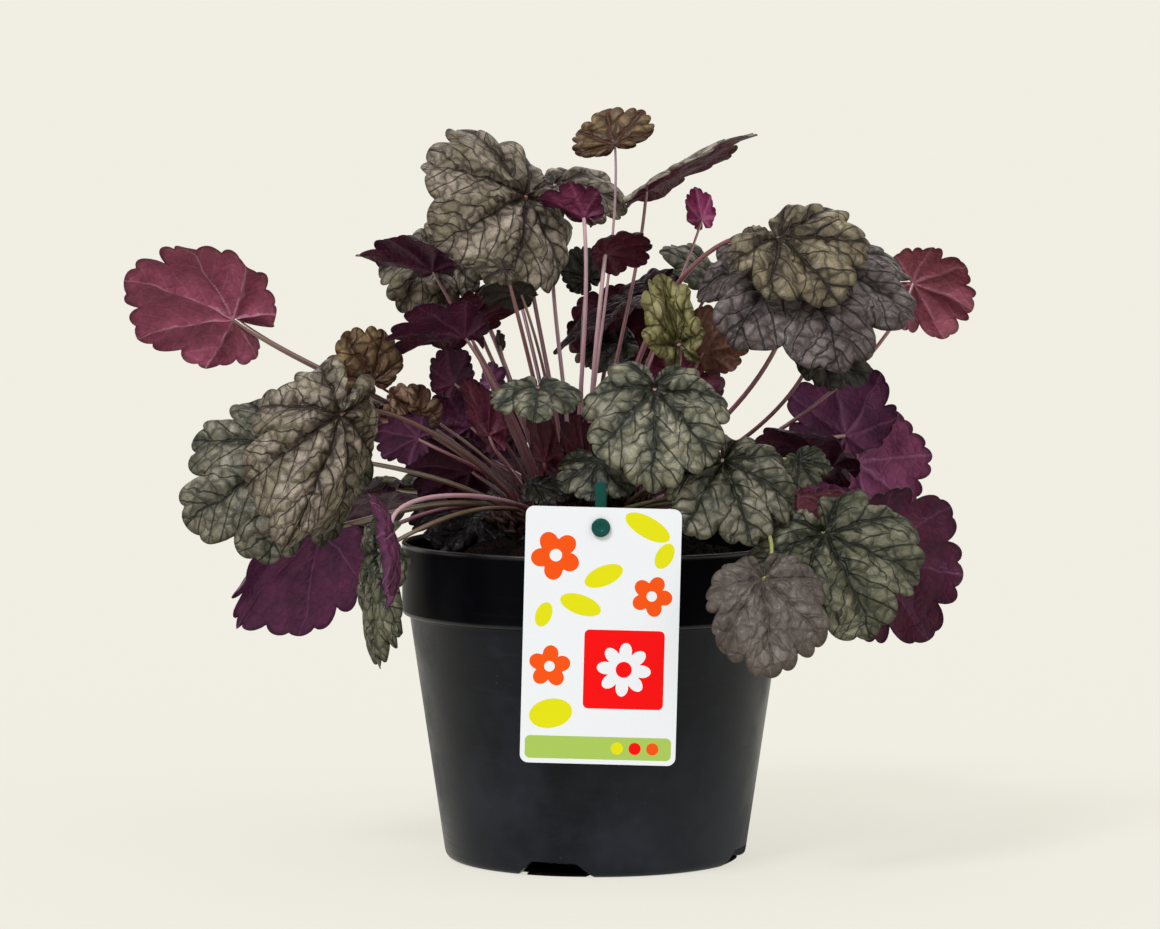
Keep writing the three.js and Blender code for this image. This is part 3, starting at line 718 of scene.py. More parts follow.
# The leaves that stand for a node, in order. The last nine are on the far side. A row has the points at, tip and face,
# then the names of the tone, the upper side, the underside and the stalk, and then how the leaf is bent.
LEAVES = """
-158.5,0,238 -207,-5,256 -.1,.75,.6 MAROON/SILVER/MAROON/RUSSET cup=25 fold=10 wide=.88 back=.35 calm=.8
-108,-72,200 -131,-88,145 .5,-.85,.2 SILVER/SILVER/PURPLE/RUSSET cup=25 fold=-30 wide=.88 back=.42 rise=.7
-128,-40,181 -175,-48,152 -.3,-.9,.35 GREEN/GREEN/PURPLE/STRAW cup=25 wide=1.08 back=.6
-97,-20,211 -109,-24,232 0,-.8,.5 BRONZE/BRONZE/RUSSET/RUSSET cup=15 wide=1.1 back=.2
-79,-12,192 -90,-18,209 -.2,-.7,.6 BRONZE/ROSY/PURPLE/RUSSET fold=30 back=.4
-77,-28,187 -96,-33,190 0,.8,.5 PURPLE/PLUM/DAMSON cup=15
-55,14,170 -86,12,173 0,.8,.5 PURPLE/PLUM cup=15 wide=.85
-120,-26,147 -158,-22,104 -.3,.75,.5 PURPLE/MAGENTA/DAMSON/STRAW cup=20 fold=-25 wide=.8 back=.15 calm=.6
-93,-74,142 -92,-78,93 -.85,-.6,0 SILVER/MOSS/PURPLE/STRAW cup=15 wide=.5
-85,-110,154 -87,-112,121 .98,.2,.1 PURPLE/MAGENTA/DAMSON/PALE cup=45 wide=.55 back=.6 calm=.35
-103,14,140 -109,12,124 -.6,-.6,.3 PURPLE/PLUM
-30,-8,292 -68,-46,271 .58,-.7,.41 SILVER/SILVER cup=25 back=.42
-18,30,297 14,26,285 .15,-.5,.85 SILVER/SILVER/PURPLE/PALE cup=40
-5,-14,283 -24,-20,292 .3,.6,.75 PURPLE/PLUM/GARNET/PALE fold=30
-68,18,266 -89,12,240 -.2,-.85,.5 SILVER/SILVER cup=20 back=.4
-71,-16,260 -104,-20,266 .1,.3,.93 PURPLE/PLUM fold=15
-56,34,250 -65,30,259 0,-.6,.8 BRONZE/BRONZE
-57,-31,232 -90,-38,232 .05,.5,.85 PURPLE/PLUM fold=15
-56,2,236 -25,-6,252 .2,.45,.85 MAROON/PLUM/WINE fold=20 wide=.6
-3,24,254 -11,20,267 0,-.8,.6 GREEN/UMBER
4,-24,267.5 26,-26,271.5 .1,.5,.85 PURPLE/PLUM/WINE/PALE cup=30
8.5,0,314 4.5,9,329.5 -.2,-.85,.5 BRONZE/BRONZE/RUSSET/PALE cup=15 wide=1.4 back=.05 rise=.1
22,-5,295 68,-10,319 -.45,.14,.88 MAROON/SILVER/WINE cup=12 wide=.7 back=.2 calm=.4
47,10,281 44,10,295 0,.8,.3 PURPLE/MAGENTA/CERISE fold=30 wide=.7
78,-68,275 102,-86,249 .1,-.75,.65 GREEN/OLIVE cup=25 fold=15 wide=1.1 back=.4 rise=1.3 bow=-14,16,4
86,-50,267 102,-94,223 .1,-.7,.7 SILVER/DUSK cup=28 wide=1.1 back=.42 bow=22,0,-18
140,8,253 168,2,242 .2,.85,.3 MAROON/SILVER/ROSE cup=20 back=.5 bow=25,0,-22
36,-30,228 28,-28,258 -.1,-.9,.2 GREEN/LIME fold=55 wide=.85 bow=8,4,0
47,-16,224 60,-21,242 .2,.8,.4 MAROON/BRONZE/RUSSET cup=10 bow=4,-4,0
96,-24,228 117,-28,212 .1,-.6,.7 PURPLE/UMBER cup=15 bow=18,0,-14
110,0,186 104,8,219 0,.9,.3 PURPLE/SILVER/DAMSON cup=25 calm=.7
116,18,173 149,16,177 .1,.95,.2 PURPLE/GREEN/VIOLET cup=20 wide=1.1 calm=.7
104,-14,174 70,-20,187 -.1,.5,.85 PURPLE/PLUM cup=15 wide=.8
88,-22,165 128,-26,156 .1,.45,.9 MAROON/MAGENTA/MAROON fold=-15 wide=.75
87,-62,180 95,-67,168 .3,-.8,.4 GREEN/GREEN/PURPLE/LIME fold=20
97,-75,150 117,-95,107 .1,-.8,.55 GREEN/MOSS/PURPLE/LIME cup=25 wide=1.1 back=.4
70,-106,133 74,-114,93 -.05,-.95,.25 SILVER/TAUPE/PURPLE/LIME cup=20 wide=.9 back=.25 bow=26,0,12
54,-70,180.5 65.5,-87.5,146 .1,-.8,.5 GREEN/GREEN/PURPLE/STRAW cup=25 wide=1.05
120,-40,135 161,-42,128 .15,.95,.1 PURPLE/SILVER cup=20 wide=1.2 calm=.7
25,-70,211 24,-90,169 0,-.85,.5 GREEN/SAGE cup=20 wide=.93
2,-58,179 -3,-70,162 -.1,-.7,.65 SILVER/SAGE cup=15 wide=1.2
-25,-55,211 -26,-78,198 0,-.6,.8 GREEN/SAGE cup=20 wide=1.1 back=.5
27,42,249 -17,38,222 .4,-.1,.85 MAROON/PLUM/WINE fold=15 wide=.5
-62,-14,210 -66,-18,226 -.5,.6,.3 PURPLE/PLUM
-56,36,188 -70,32,206 -.3,.8,.3 PURPLE/PLUM
6,58,222 12,58,250 0,.9,.2 MAROON/GREEN/WINE
-98,64,196 -130,92,178 -.4,.5,.75 SILVER/SILVER/PURPLE/STRAW cup=25
-42,80,272 -56,120,252 -.15,.5,.8 GREEN/GREEN cup=25
18,92,230 28,132,206 .1,.5,.8 MAROON/SILVER/MAROON cup=25
54,46,254 30,40,266 0,-.45,.85 GREEN/GREEN cup=20 back=.5
-90,50,160 -126,70,134 -.4,.4,.8 GREEN/MOSS/PURPLE/STRAW cup=25
-50,92,172 -68,130,144 -.25,.6,.75 BRONZE/BRONZE cup=25
2,100,170 2,138,138 0,.65,.75 GREEN/GREEN cup=25
64,82,168 88,116,140 .3,.55,.75 SILVER/SILVER cup=25
98,60,160 132,78,130 .5,.4,.75 GREEN/GREEN cup=25
"""

# Young leaves and shaded low ones that stand among the stalks.
YOUNG = """
-46,8,208 -45,10,219 .1,.85,.2 PURPLE/MAGENTA/DAMSON fold=50
-22,-46,178 -27,-50,200 .3,.9,.1 PURPLE/PLUM/WINE fold=45 wide=.55
-5,-46,176 -8,-48,200 -.3,.9,.1 PURPLE/PLUM/WINE fold=45 wide=.55
-46,-22,188 -57,-26,213 .5,.8,.3 PURPLE/PLUM/WINE fold=30 wide=.5
12,30,226 -8,30,217 0,-.45,.9 PURPLE/UMBER/WINE cup=15
-40,46,156 -76,44,150 0,-.35,.95 PURPLE/NIGHT cup=15 wide=.9
34,42,200 48,46,224 .1,.85,.3 PURPLE/PLUM/WINE cup=15
-26,-48,168 -12,-55,163 0,-.5,.85 PURPLE/UMBER/WINE/RUSSET cup=15
14,32,178 19,32,203 0,.9,.2 PURPLE/PLUM/WINE cup=15
-36,66,182 -54,68,200 -.3,.8,.3 PURPLE/PLUM cup=15
-38,-60,261 -53,-63,262 .1,-.5,.85 GREEN/OLIVE cup=20
-32,-50,251 -50,-54,252 0,.5,.85 GREEN/MOSS/SHADE/RUSSET cup=20
-8,50,180 -14,54,202 -.1,.9,.2 PURPLE/PLUM cup=15
-42,16,225 -43,16,232 .2,.9,0 PURPLE/PLUM/SHADE fold=60 wide=.6
-44,40,152 -86,36,146 0,-.5,.85 PURPLE/NIGHT cup=15 wide=.9
"""

BLADE_SEED, STALK_SEED, FIRST_YOUNG = 1000, 500, 101
HALF_WIDTH = 0.66  # half the width at the stalk, for a blade of length 1
FOLD_WIDTH = 0.12  # half the width of the bend about the midrib
TEMPLATE_BACK = 0.3
# Degrees from the midrib: the edges of the lobes, and between each two the lobe's own rib.
LINES = (-180, -137, -108, -85, -63, -42, -21, 0, 21, 42, 63, 85, 108, 137, 180)
LOBES = tuple(zip(LINES[:-2:2], LINES[1:-1:2], LINES[2::2], strict=True))
OWN = np.array(LINES[1::2])


def plain_reach(angle: Array, back: float) -> Array:
    """The smooth outline's distance from the stalk at angles in degrees, for a blade of length 1."""
    ends, turn = (1 + back) / 2, np.radians(angle)
    even, twice = (ends + HALF_WIDTH) / 2, (ends - HALF_WIDTH) / 2
    return even + (1 - back) / 2 * np.cos(turn) + twice * np.cos(2 * turn)


def polar(angle: Array, radius: Array) -> Array:
    """Turns degrees and distances into flat coordinates, one row for each point."""
    turn = np.radians(angle)
    return np.column_stack([radius * np.cos(turn), radius * np.sin(turn)])


def nearest_rib(angle: Array) -> Array:
    """Gives the angle of the nearest rib in degrees."""
    return OWN[np.argmin(np.abs(angle[:, None] - OWN[None, :]), axis=1)]


def beside(flat: Array, ribs: Array) -> tuple[Array, Array]:
    """How far flat points lie along and to the side of ribs, whose angles are in degrees."""
    (x, y), turn = flat.T, np.radians(ribs)
    return x * np.cos(turn) + y * np.sin(turn), y * np.cos(turn) - x * np.sin(turn)


@dataclass
class BladeCut:
    """The flat cut of a blade: lobes, round teeth and the mesh inside them, which many leaves are shaped from."""

    step: float
    seed: int
    lobe_depth: float
    back_depth: float = 0.04
    tooth_depth: float = 0.05
    teeth: int = 3
    slot: float = 11.0  # degrees from the middle of the slot behind the stalk to where the blade is nearly whole

    def __post_init__(self) -> None:
        """Lays out the outline, the ribs and the points between them, and joins them into triangles."""
        self.phases = np.random.default_rng(self.seed).uniform(0, TURN, 6)
        outline = self.outline_angles()
        reach = self.reach(outline)
        border = polar(outline, reach)
        spokes, chains, count = [np.zeros((1, 2))], [], len(outline) + 1
        for line in LINES[1:-1]:
            end = int(np.argmin(np.abs(outline - line)))
            radii = np.arange(self.step, reach[end] - 0.5 * self.step, self.step)
            spokes.append(polar(np.full(len(radii), outline[end]), radii))
            chains.append([len(outline), *range(count, count + len(radii)), end])
            count += len(radii)
        loose = np.vstack([*spokes, self.filling(np.vstack([border, *spokes]))])
        flat, faces = triangulate([border], chains, loose)
        middle = flat[faces].mean(axis=1)
        kept = inside(middle, border)
        turn = np.degrees(np.arctan2(middle[kept, 1], middle[kept, 0]))
        self.lobe = np.searchsorted([last for _, _, last in LOBES], turn)
        used, triangles = np.unique(faces[kept], return_inverse=True)
        self.triangles = triangles.reshape(-1, 3)
        self.angle = np.degrees(np.arctan2(flat[used, 1], flat[used, 0]))
        self.share = np.clip(np.hypot(flat[used, 0], flat[used, 1]) / self.reach(self.angle), 0, 1)
        self.border = np.array(free_edges(self.triangles))

    def outline_angles(self) -> Array:
        """The angles at which the outline is cut: several in each tooth, and closer in the slot behind the stalk."""
        cut: list[float] = [side * (180 - d) for d in (1.5, 3, 4.5, 6.5, 9, 12, 15) for side in (-1, 1)]
        for first, own, last in LOBES:
            x = np.linspace(-1, 1, 8 * self.teeth + 1)[:-1]
            cut += list(np.where(x < 0, own + x * (own - first), own + x * (last - own)))
        angles = np.unique(np.round(np.array(cut), 3))
        return angles[np.concatenate([[True], np.diff(angles) > 0.6])]

    def lobe_place(self, angle: Array) -> Array:
        """Where each angle lies in its lobe: 0 on the rib, -1 and 1 on the edges."""
        place = np.zeros_like(angle)
        for first, own, last in LOBES:
            x = np.where(angle < own, (angle - own) / (own - first), (angle - own) / (last - own))
            place = np.where((angle >= first) & (angle <= last), x, place)
        return place

    def form(self, angle: Array) -> Array:
        """How lobes, teeth and the slot behind the stalk change the smooth outline."""
        x, turn, p = self.lobe_place(angle), np.radians(angle), self.phases
        even = 1 + 0.035 * np.sin(2 * turn + p[0]) + 0.025 * np.sin(5 * turn + p[1])
        depth = self.lobe_depth * (1 + 0.35 * np.sin(3 * turn + p[2]))
        depth = np.where(np.abs(angle) > LINES[-2], self.back_depth, depth)
        tooth = self.tooth_depth * (1 + 0.4 * np.sin(4 * turn + p[3]))
        bite = tooth * (1 - np.abs(np.sin(math.pi * self.teeth * (x + 1) / 2)) ** 0.7)
        slot = 0.03 + 0.97 * (1 - np.exp(-(((180 - np.abs(angle)) / self.slot) ** 1.6)))
        return even * (1 - depth * np.abs(x) ** 3 - bite) * slot

    def reach(self, angle: Array) -> Array:
        """The toothed outline's distance from the stalk, with the template's own back lobes."""
        return plain_reach(angle, TEMPLATE_BACK) * self.form(angle)

    def filling(self, fixed: Array) -> Array:
        """Points on a triangular grid inside the outline, clear of the points and ribs already set."""
        h = self.step
        rows = np.arange(-1.2, 1.2, h * math.sqrt(0.75))
        grid = np.array([(x + i % 2 * h / 2, y) for i, y in enumerate(rows) for x in np.arange(-0.8, 1.3, h)])
        grid += np.random.default_rng(self.seed + 1).uniform(-0.12 * h, 0.12 * h, grid.shape)
        grid = grid[np.hypot(*grid.T) < self.reach(np.degrees(np.arctan2(grid[:, 1], grid[:, 0]))) - 0.4 * h]
        for line in LINES[1:-1]:
            ahead, aside = beside(grid, line)
            grid = grid[(ahead < 0) | (np.abs(aside) > 0.45 * h)]
        near = np.array([np.min(np.sum((fixed - g) ** 2, axis=1)) for g in grid])
        return grid[near > (0.42 * h) ** 2]


@dataclass
class Blade:
    """One leaf's blade: a flat cut, quilted between its veins and bent the way the leaf is."""

    leaf: Leaf
    number: int
    half: float = 0.27  # half the blade's thickness
    grown: float = 45.0  # a shorter blade is quilted less
    pleat: float = 0.085  # rise of the blade between its ribs, as a share of its length
    quilt: float = 1.2  # rise between side veins
    lumps: float = 0.6
    ruffle: float = 0.03
    curl: float = 0.045
    rib_height: float = 0.8
    rib_width: float = 0.9
    crisp: float = 62.0

    def __post_init__(self) -> None:
        """Works out the blade's size and its own directions."""
        self.at = np.array(self.leaf.at)
        along = np.array(self.leaf.tip) - self.at
        length = float(np.linalg.norm(along))
        along /= length
        face = np.array(self.leaf.face)
        face -= face.dot(along) * along
        face /= np.linalg.norm(face)
        self.across = np.cross(face, along)
        x, _, z = self.bent(np.array([1.0]), np.array([0.0]), np.array([0.0]))[0]
        chord = math.hypot(x, z)
        self.size, cos, sin = length / chord, x / chord, z / chord
        self.along = along * cos + np.cross(self.across, along) * sin
        self.face = face * cos + np.cross(self.across, face) * sin

    def bent(self, u: Array, v: Array, h: Array) -> Array:
        """Takes points of the flat blade through its cupping and its fold about the midrib.

        Args:
            u: Along the midrib, as a share of the blade's length.
            v: Across it.
            h: Height above the flat blade.

        Returns:
            One row for each point.
        """
        leaf = self.leaf
        x, y, z = u, v * leaf.wide, h
        if leaf.cup:
            radius = 1 / math.radians(leaf.cup)
            reach, turn = np.hypot(u, v), np.arctan2(v, u)
            out = (radius + h) * np.sin(reach / radius)
            x, y = out * np.cos(turn), out * np.sin(turn) * leaf.wide
            z = (radius + h) * np.cos(reach / radius) - radius
        if leaf.fold:
            full = math.radians(leaf.fold)
            side, flat = np.where(y < 0, -1.0, 1.0), np.abs(y)
            turned_by, radius = full * np.minimum(flat / FOLD_WIDTH, 1), FOLD_WIDTH / full
            past = np.maximum(flat - FOLD_WIDTH, 0)
            y = side * ((radius - z) * np.sin(turned_by) + past * math.cos(full))
            z = radius - (radius - z) * np.cos(turned_by) + past * math.sin(full)
        return np.column_stack([x, y, z])

    def relief(self, cut: BladeCut, flat: Array) -> tuple[Array, Array]:
        """The height of the quilted blade's upper side and of its smoother underside above a flat one.

        Args:
            cut: The flat cut.
            flat: Flat coordinates of its points in millimetres.

        Returns:
            The height of both sides at each point, in millimetres.
        """
        phase = np.random.default_rng(BLADE_SEED + self.number).uniform(0, TURN, 4)
        share, turn, small = cut.share, np.radians(cut.angle), min(1.0, self.size / self.grown)
        between = np.sin(math.pi / 2 * np.abs(cut.lobe_place(cut.angle))) ** 1.2
        height = self.pleat * self.size * (1 + 0.4 * np.sin(2 * turn + phase[0])) * share * between
        height *= 1.15 - 0.6 * share
        ahead, aside = beside(flat, nearest_rib(cut.angle))
        aside = np.abs(aside)
        puff = np.abs(np.sin(math.pi * (ahead - VEIN_SLANT * aside) / VEIN_GAP)) ** 0.8
        puff *= np.clip(aside / 3, 0, 1) * (1 - share**8)
        height += small * waves(flat, self.number, ((0.2, self.lumps), (0.45, self.lumps)))
        ripple = np.sin(7 * turn + phase[1]) + 0.7 * np.sin(11 * turn + phase[2])
        height += self.size * (self.ruffle * share**4 * ripple - self.curl * np.clip((share - 0.7) / 0.3, 0, 1) ** 2)
        height -= 0.03 * self.size * np.exp(-((share / 0.16) ** 2))
        calm, puffs = self.leaf.calm, self.quilt * small * puff
        return calm * (height + puffs), calm * (height + 0.3 * puffs)

    def build(self, cut: BladeCut, name: str) -> Object:
        """Builds the blade as a closed thin body.

        Args:
            cut: The flat cut that it is shaped from.
            name: The object's name.

        Returns:
            The blade.
        """
        flat = polar(cut.angle, cut.share * plain_reach(cut.angle, self.leaf.back) * cut.form(cut.angle)) * self.size
        ribs = nearest_rib(cut.angle)
        above, below = self.relief(cut, flat)
        _, aside = beside(flat, ribs)
        rib = self.rib_height * min(1.0, self.size / 50) * (1 - 0.7 * cut.share)
        rib *= np.exp(-((aside / self.rib_width) ** 2))
        half, axes = self.half * (1 - 0.45 * cut.share**6), np.vstack([self.along, self.across, self.face])
        sides = [self.bent(*flat.T / self.size, h / self.size) for h in (above + half, below - half - rib)]
        count, (a, b) = len(flat), cut.border.T
        walls = np.column_stack([a, a + count, b + count, b])
        faces = [*cut.triangles.tolist(), *(cut.triangles[:, ::-1] + count).tolist(), *walls.tolist()]
        skins = [self.leaf.upper.value.material(), self.leaf.lower.value.material()]
        blade = mesh_object(name, self.at + np.vstack(sides) * self.size @ axes, faces, skins)
        look = np.repeat([0, 1, 0], [len(cut.triangles), len(cut.triangles), len(walls)]).astype(np.int32)
        blade.data.polygons.foreach_set("material_index", look)
        self.mark(blade.data, cut, flat, np.append(np.repeat(np.tile(OWN[cut.lobe], 2), 3), np.repeat(ribs[a], 4)))
        smooth(blade, self.crisp)
        return blade

    def mark(self, mesh: Mesh, cut: BladeCut, flat: Array, ribs: Array) -> None:
        """Writes the flat map, and each corner's place beside its rib and in from the margin.

        Args:
            mesh: The blade's mesh.
            cut: The flat cut that it is shaped from.
            flat: Flat coordinates of each point in millimetres.
            ribs: The angle in degrees of each corner's rib.
        """
        corner = np.empty(len(mesh.loops), np.int64)
        mesh.loops.foreach_get("vertex_index", corner)
        corner %= len(flat)
        share, spots = cut.share[corner], flat[corner]
        inward = np.hypot(*spots.T) * (1 / np.maximum(share, 0.05) - 1) + np.where(share < 0.04, 30.0, 0.0)
        rib = np.column_stack([*beside(spots, ribs), inward])
        mesh.attributes.new("rib", "FLOAT_VECTOR", "CORNER").data.foreach_set("vector", rib.astype(np.float32).ravel())
        shifted = spots / 100 + np.array([self.number * 7 % 11, self.number * 5 % 13])
        mesh.uv_layers.new(name="flat").data.foreach_set("uv", shifted.astype(np.float32).ravel())


@dataclass
class Crown:
    """The woody crown, knobbly and clad in papery scales that hug the feet of the stalks."""

    centre: Spot = (-8.0, 0.0, 150.0)
    radii: Spot = (34.0, 24.0, 16.0)
    spacing: float = 4.6  # between the feet of the stalks
    rounds: int = 80  # how often they push one another apart
    lowest_scale: float = 143.0
    scale_size: float = 6.5
    scales: float = 90000.0  # for each square metre

    def build(self) -> None:
        """Builds the crown and its scales."""
        t = np.linspace(-math.pi / 2, math.pi / 2, 40)
        unit, faces = turned(np.column_stack([np.cos(t), np.sin(t)]), 72)
        knobs = waves(unit, 9, ((3.0, 0.05), (7.0, 0.035), (15.0, 0.02)))
        points = unit * (1 + knobs[:, None]) * np.array(self.radii) + np.array(self.centre)
        # Bark and scales get colours far darker than a crown's own brown: painted shade for the leaves over it.
        bark = WoodyCrown("corky bark", "#0f0706", "#2a1712", 0.8).material()
        paper = WoodyCrown("papery scales", "#1c0d0a", "#452a21", 0.6).material()
        body = mesh_object("woody_crown", points, faces, [bark])
        smooth(body, 80)
        shape = Strewing("papery scales")
        cone = shape.put("MeshCone", Vertices=7, Side_Segments=2, Radius_Top=0.02, Radius_Bottom=0.34, Depth=1.0)
        scale = shape.put("Transform", cone, Scale=(1.0, 0.45, 1.0))
        way = shape.any_of((-0.5, -0.5, 0.3), (0.5, 0.5, 0.9))
        way = shape.put("VectorMath", shape.spots.outputs["Normal"], way)
        turn = shape.put("AlignRotationToVector", Vector=way, axis="Z")
        spin = shape.any_of((0.0, 0.0, 0.0), (0.0, 0.0, 6.28))
        turn = shape.put("RotateRotation", turn, spin, rotation_space="LOCAL")
        shape.lay(scale, turn, (0.7, 0.7, 0.5), (1.3, 1.3, 1.4))
        values = {"Density": self.scales, "Size": self.scale_size * MM, "Lowest": self.lowest_scale * MM, "Seed": 3}
        scales = shape.run(body.data.copy(), "crown_scales", **values, Material=paper)
        settle(body, "rootstock", "crown")
        settle(scales, "rootstock")

    def seats(self, leaves: list[Leaf]) -> list[Seat]:
        """Finds where each stalk sits on the crown, pushed apart from its neighbours.

        Args:
            leaves: All leaves of the plant.

        Returns:
            For each leaf, the point on the crown and the direction out of it.
        """
        centre, flat = np.array(self.centre), np.array(self.radii[:2])
        ways = np.array([leaf.at for leaf in leaves]) - centre
        spots = (ways / np.linalg.norm(ways, axis=1, keepdims=True))[:, :2] * flat
        for _ in range(self.rounds):
            for i in range(len(spots)):
                for j in range(i + 1, len(spots)):
                    apart = spots[j] - spots[i]
                    far = math.hypot(*apart)
                    if far < self.spacing:
                        push = apart / max(far, 1e-9) * (self.spacing - far) / 2
                        spots[i] -= push
                        spots[j] += push
                spots[i] /= max(1, math.hypot(*(spots[i] / flat)) / 0.96)
        made = []
        for x, y in spots:
            z = self.radii[2] * math.sqrt(max(0.0, 1 - (x / flat[0]) ** 2 - (y / flat[1]) ** 2))
            normal = np.array([x, y, z]) / np.array(self.radii) ** 2
            made.append((np.array([x, y, z]) + centre, normal / np.linalg.norm(normal)))
        return made


@dataclass
class StalkShape(NodeShape):
    """A tapered round shoot along a curve, which keeps how far along it each part is."""

    floats: tuple[str, ...] = ("Foot", "Radius", "Head")
    whole: str = "Sides"

    def __post_init__(self) -> None:
        """Builds the tree that sweeps a tapered ring along a curve."""
        super().__post_init__()
        put = self.put
        line, foot, radius, head, sides, *_ = self.wanted.values()
        along = put("SplineParameter")
        flared = put("MapRange.SMOOTHSTEP", along, 0.0, 0.14, foot, radius)
        less = put("Math.SUBTRACT", head, radius)
        radius = put("Math.MULTIPLY_ADD", put("MapRange", along, 0.3, 1.0), less, flared)
        held = put("CaptureAttribute", put("SetCurveRadius", line, Radius=radius))
        held.capture_items.new("FLOAT", "Along")
        self.tree.links.new(along.outputs[0], held.inputs[1])
        ring = put("CurvePrimitiveCircle", sides, Radius=1.0)
        swept = put("CurveToMesh", held.outputs[0], ring, Scale=radius, Fill_Caps=True)
        spot = put("CombineXYZ", held.outputs[1])
        self.end(put("StoreNamedAttribute", swept, Name="rib", Value=spot, domain="CORNER"))


@dataclass
class Foliage:
    """All leaves of the plant, each a blade on its stalk."""

    crown: Crown
    foot: float = 1.6
    radius: float = 1.15
    head: float = 0.92
    sides: int = 10
    stoutness: Point = (0.78, 1.38)
    cuts: dict[tuple[int, int], BladeCut] = field(default_factory=dict)
    stalks: StalkShape = field(default_factory=lambda: StalkShape("tapered stalk"))

    def cut_for(self, size: float, number: int) -> BladeCut:
        """Picks one of four flat cuts, finer for a larger blade, and builds it on first use."""
        grade, step = (0, 0.02) if size >= 50 else (1, 0.027) if size >= 30 else (2, 0.042)
        key = (grade, number % 4)
        if key not in self.cuts:
            self.cuts[key] = BladeCut(step, 10 * grade + key[1], 0.09 + 0.02 * key[1])
        return self.cuts[key]

    def path(self, blade: Blade, seat: Seat, steps: int = 26) -> Array:
        """Finds the points of a stalk's line, from its place on the crown up to its blade."""
        leaf, (point, normal) = blade.leaf, seat
        chord = blade.at - point
        length = float(np.linalg.norm(chord))
        lift, bow = np.array([0.0, 0.0, leaf.rise]), np.array(leaf.bow)
        leave = chord / length + lift + 0.4 * normal
        leave = leave / np.linalg.norm(leave) * 0.38 * length + bow
        arrive = chord / length - lift + 0.6 * blade.face + 0.3 * blade.along
        arrive = arrive / np.linalg.norm(arrive) * 0.3 * length - bow
        start, end = point - 1.2 * normal, blade.at - 0.6 * blade.face
        t = np.linspace(0, 1, steps)[:, None]
        early, late = 3 * t * (1 - t) ** 2, 3 * t**2 * (1 - t)
        return (1 - t) ** 3 * start + early * (start + leave) + late * (end - arrive) + t**3 * end

    def grow(self, leaf: Leaf, number: int, name: str, seat: Seat) -> Object:
        """Grows one leaf, with its blade on its stalk.

        Args:
            leaf: The leaf.
            number: Its number, which fixes its cut and its ripples.
            name: The object's name.
            seat: Its place on the crown and the direction out of it.

        Returns:
            The leaf as one object.
        """
        blade = Blade(leaf, number)
        piece = blade.build(self.cut_for(blade.size, number), name)
        points = self.path(blade, seat)
        curve = bpy.data.curves.new(name, "CURVE")
        curve.dimensions = "3D"
        line = curve.splines.new("POLY")
        line.points.add(len(points) - 1)
        line.points.foreach_set("co", np.insert(points * MM, 3, 1, axis=1).ravel())
        stout = np.random.default_rng(STALK_SEED + number).uniform(*self.stoutness)
        share = min(1.0, 0.62 + blade.size / 150) * stout * MM
        values = {"Foot": self.foot * share, "Radius": self.radius * share, "Head": self.head * share}
        skin = leaf.stalk.value.material()
        return join(piece, self.stalks.run(curve, name + "_stalk", **values, Sides=self.sides, Material=skin))

    def build(self) -> None:
        """Builds each leaf as one piece, and the young leaves that hide among the stalks as one piece more."""
        leaves, young = ([Leaf.read(row) for row in table.strip().splitlines()] for table in (LEAVES, YOUNG))
        for i, (leaf, seat) in enumerate(zip(leaves, self.crown.seats(leaves), strict=True), 1):
            node = f"leaf_{i:02d}"
            settle(self.grow(leaf, i, "heuchera_" + node, seat), leaf.tone.value, node)
        seats = self.crown.seats(young)
        first, *others = [self.grow(leaf, FIRST_YOUNG + i, f"young_{i}", seats[i]) for i, leaf in enumerate(young)]
        for other in others:
            join(first, other)
        first.name = "young_leaves"
        settle(first, Tone.PURPLE.value)


# ---- pot and soil


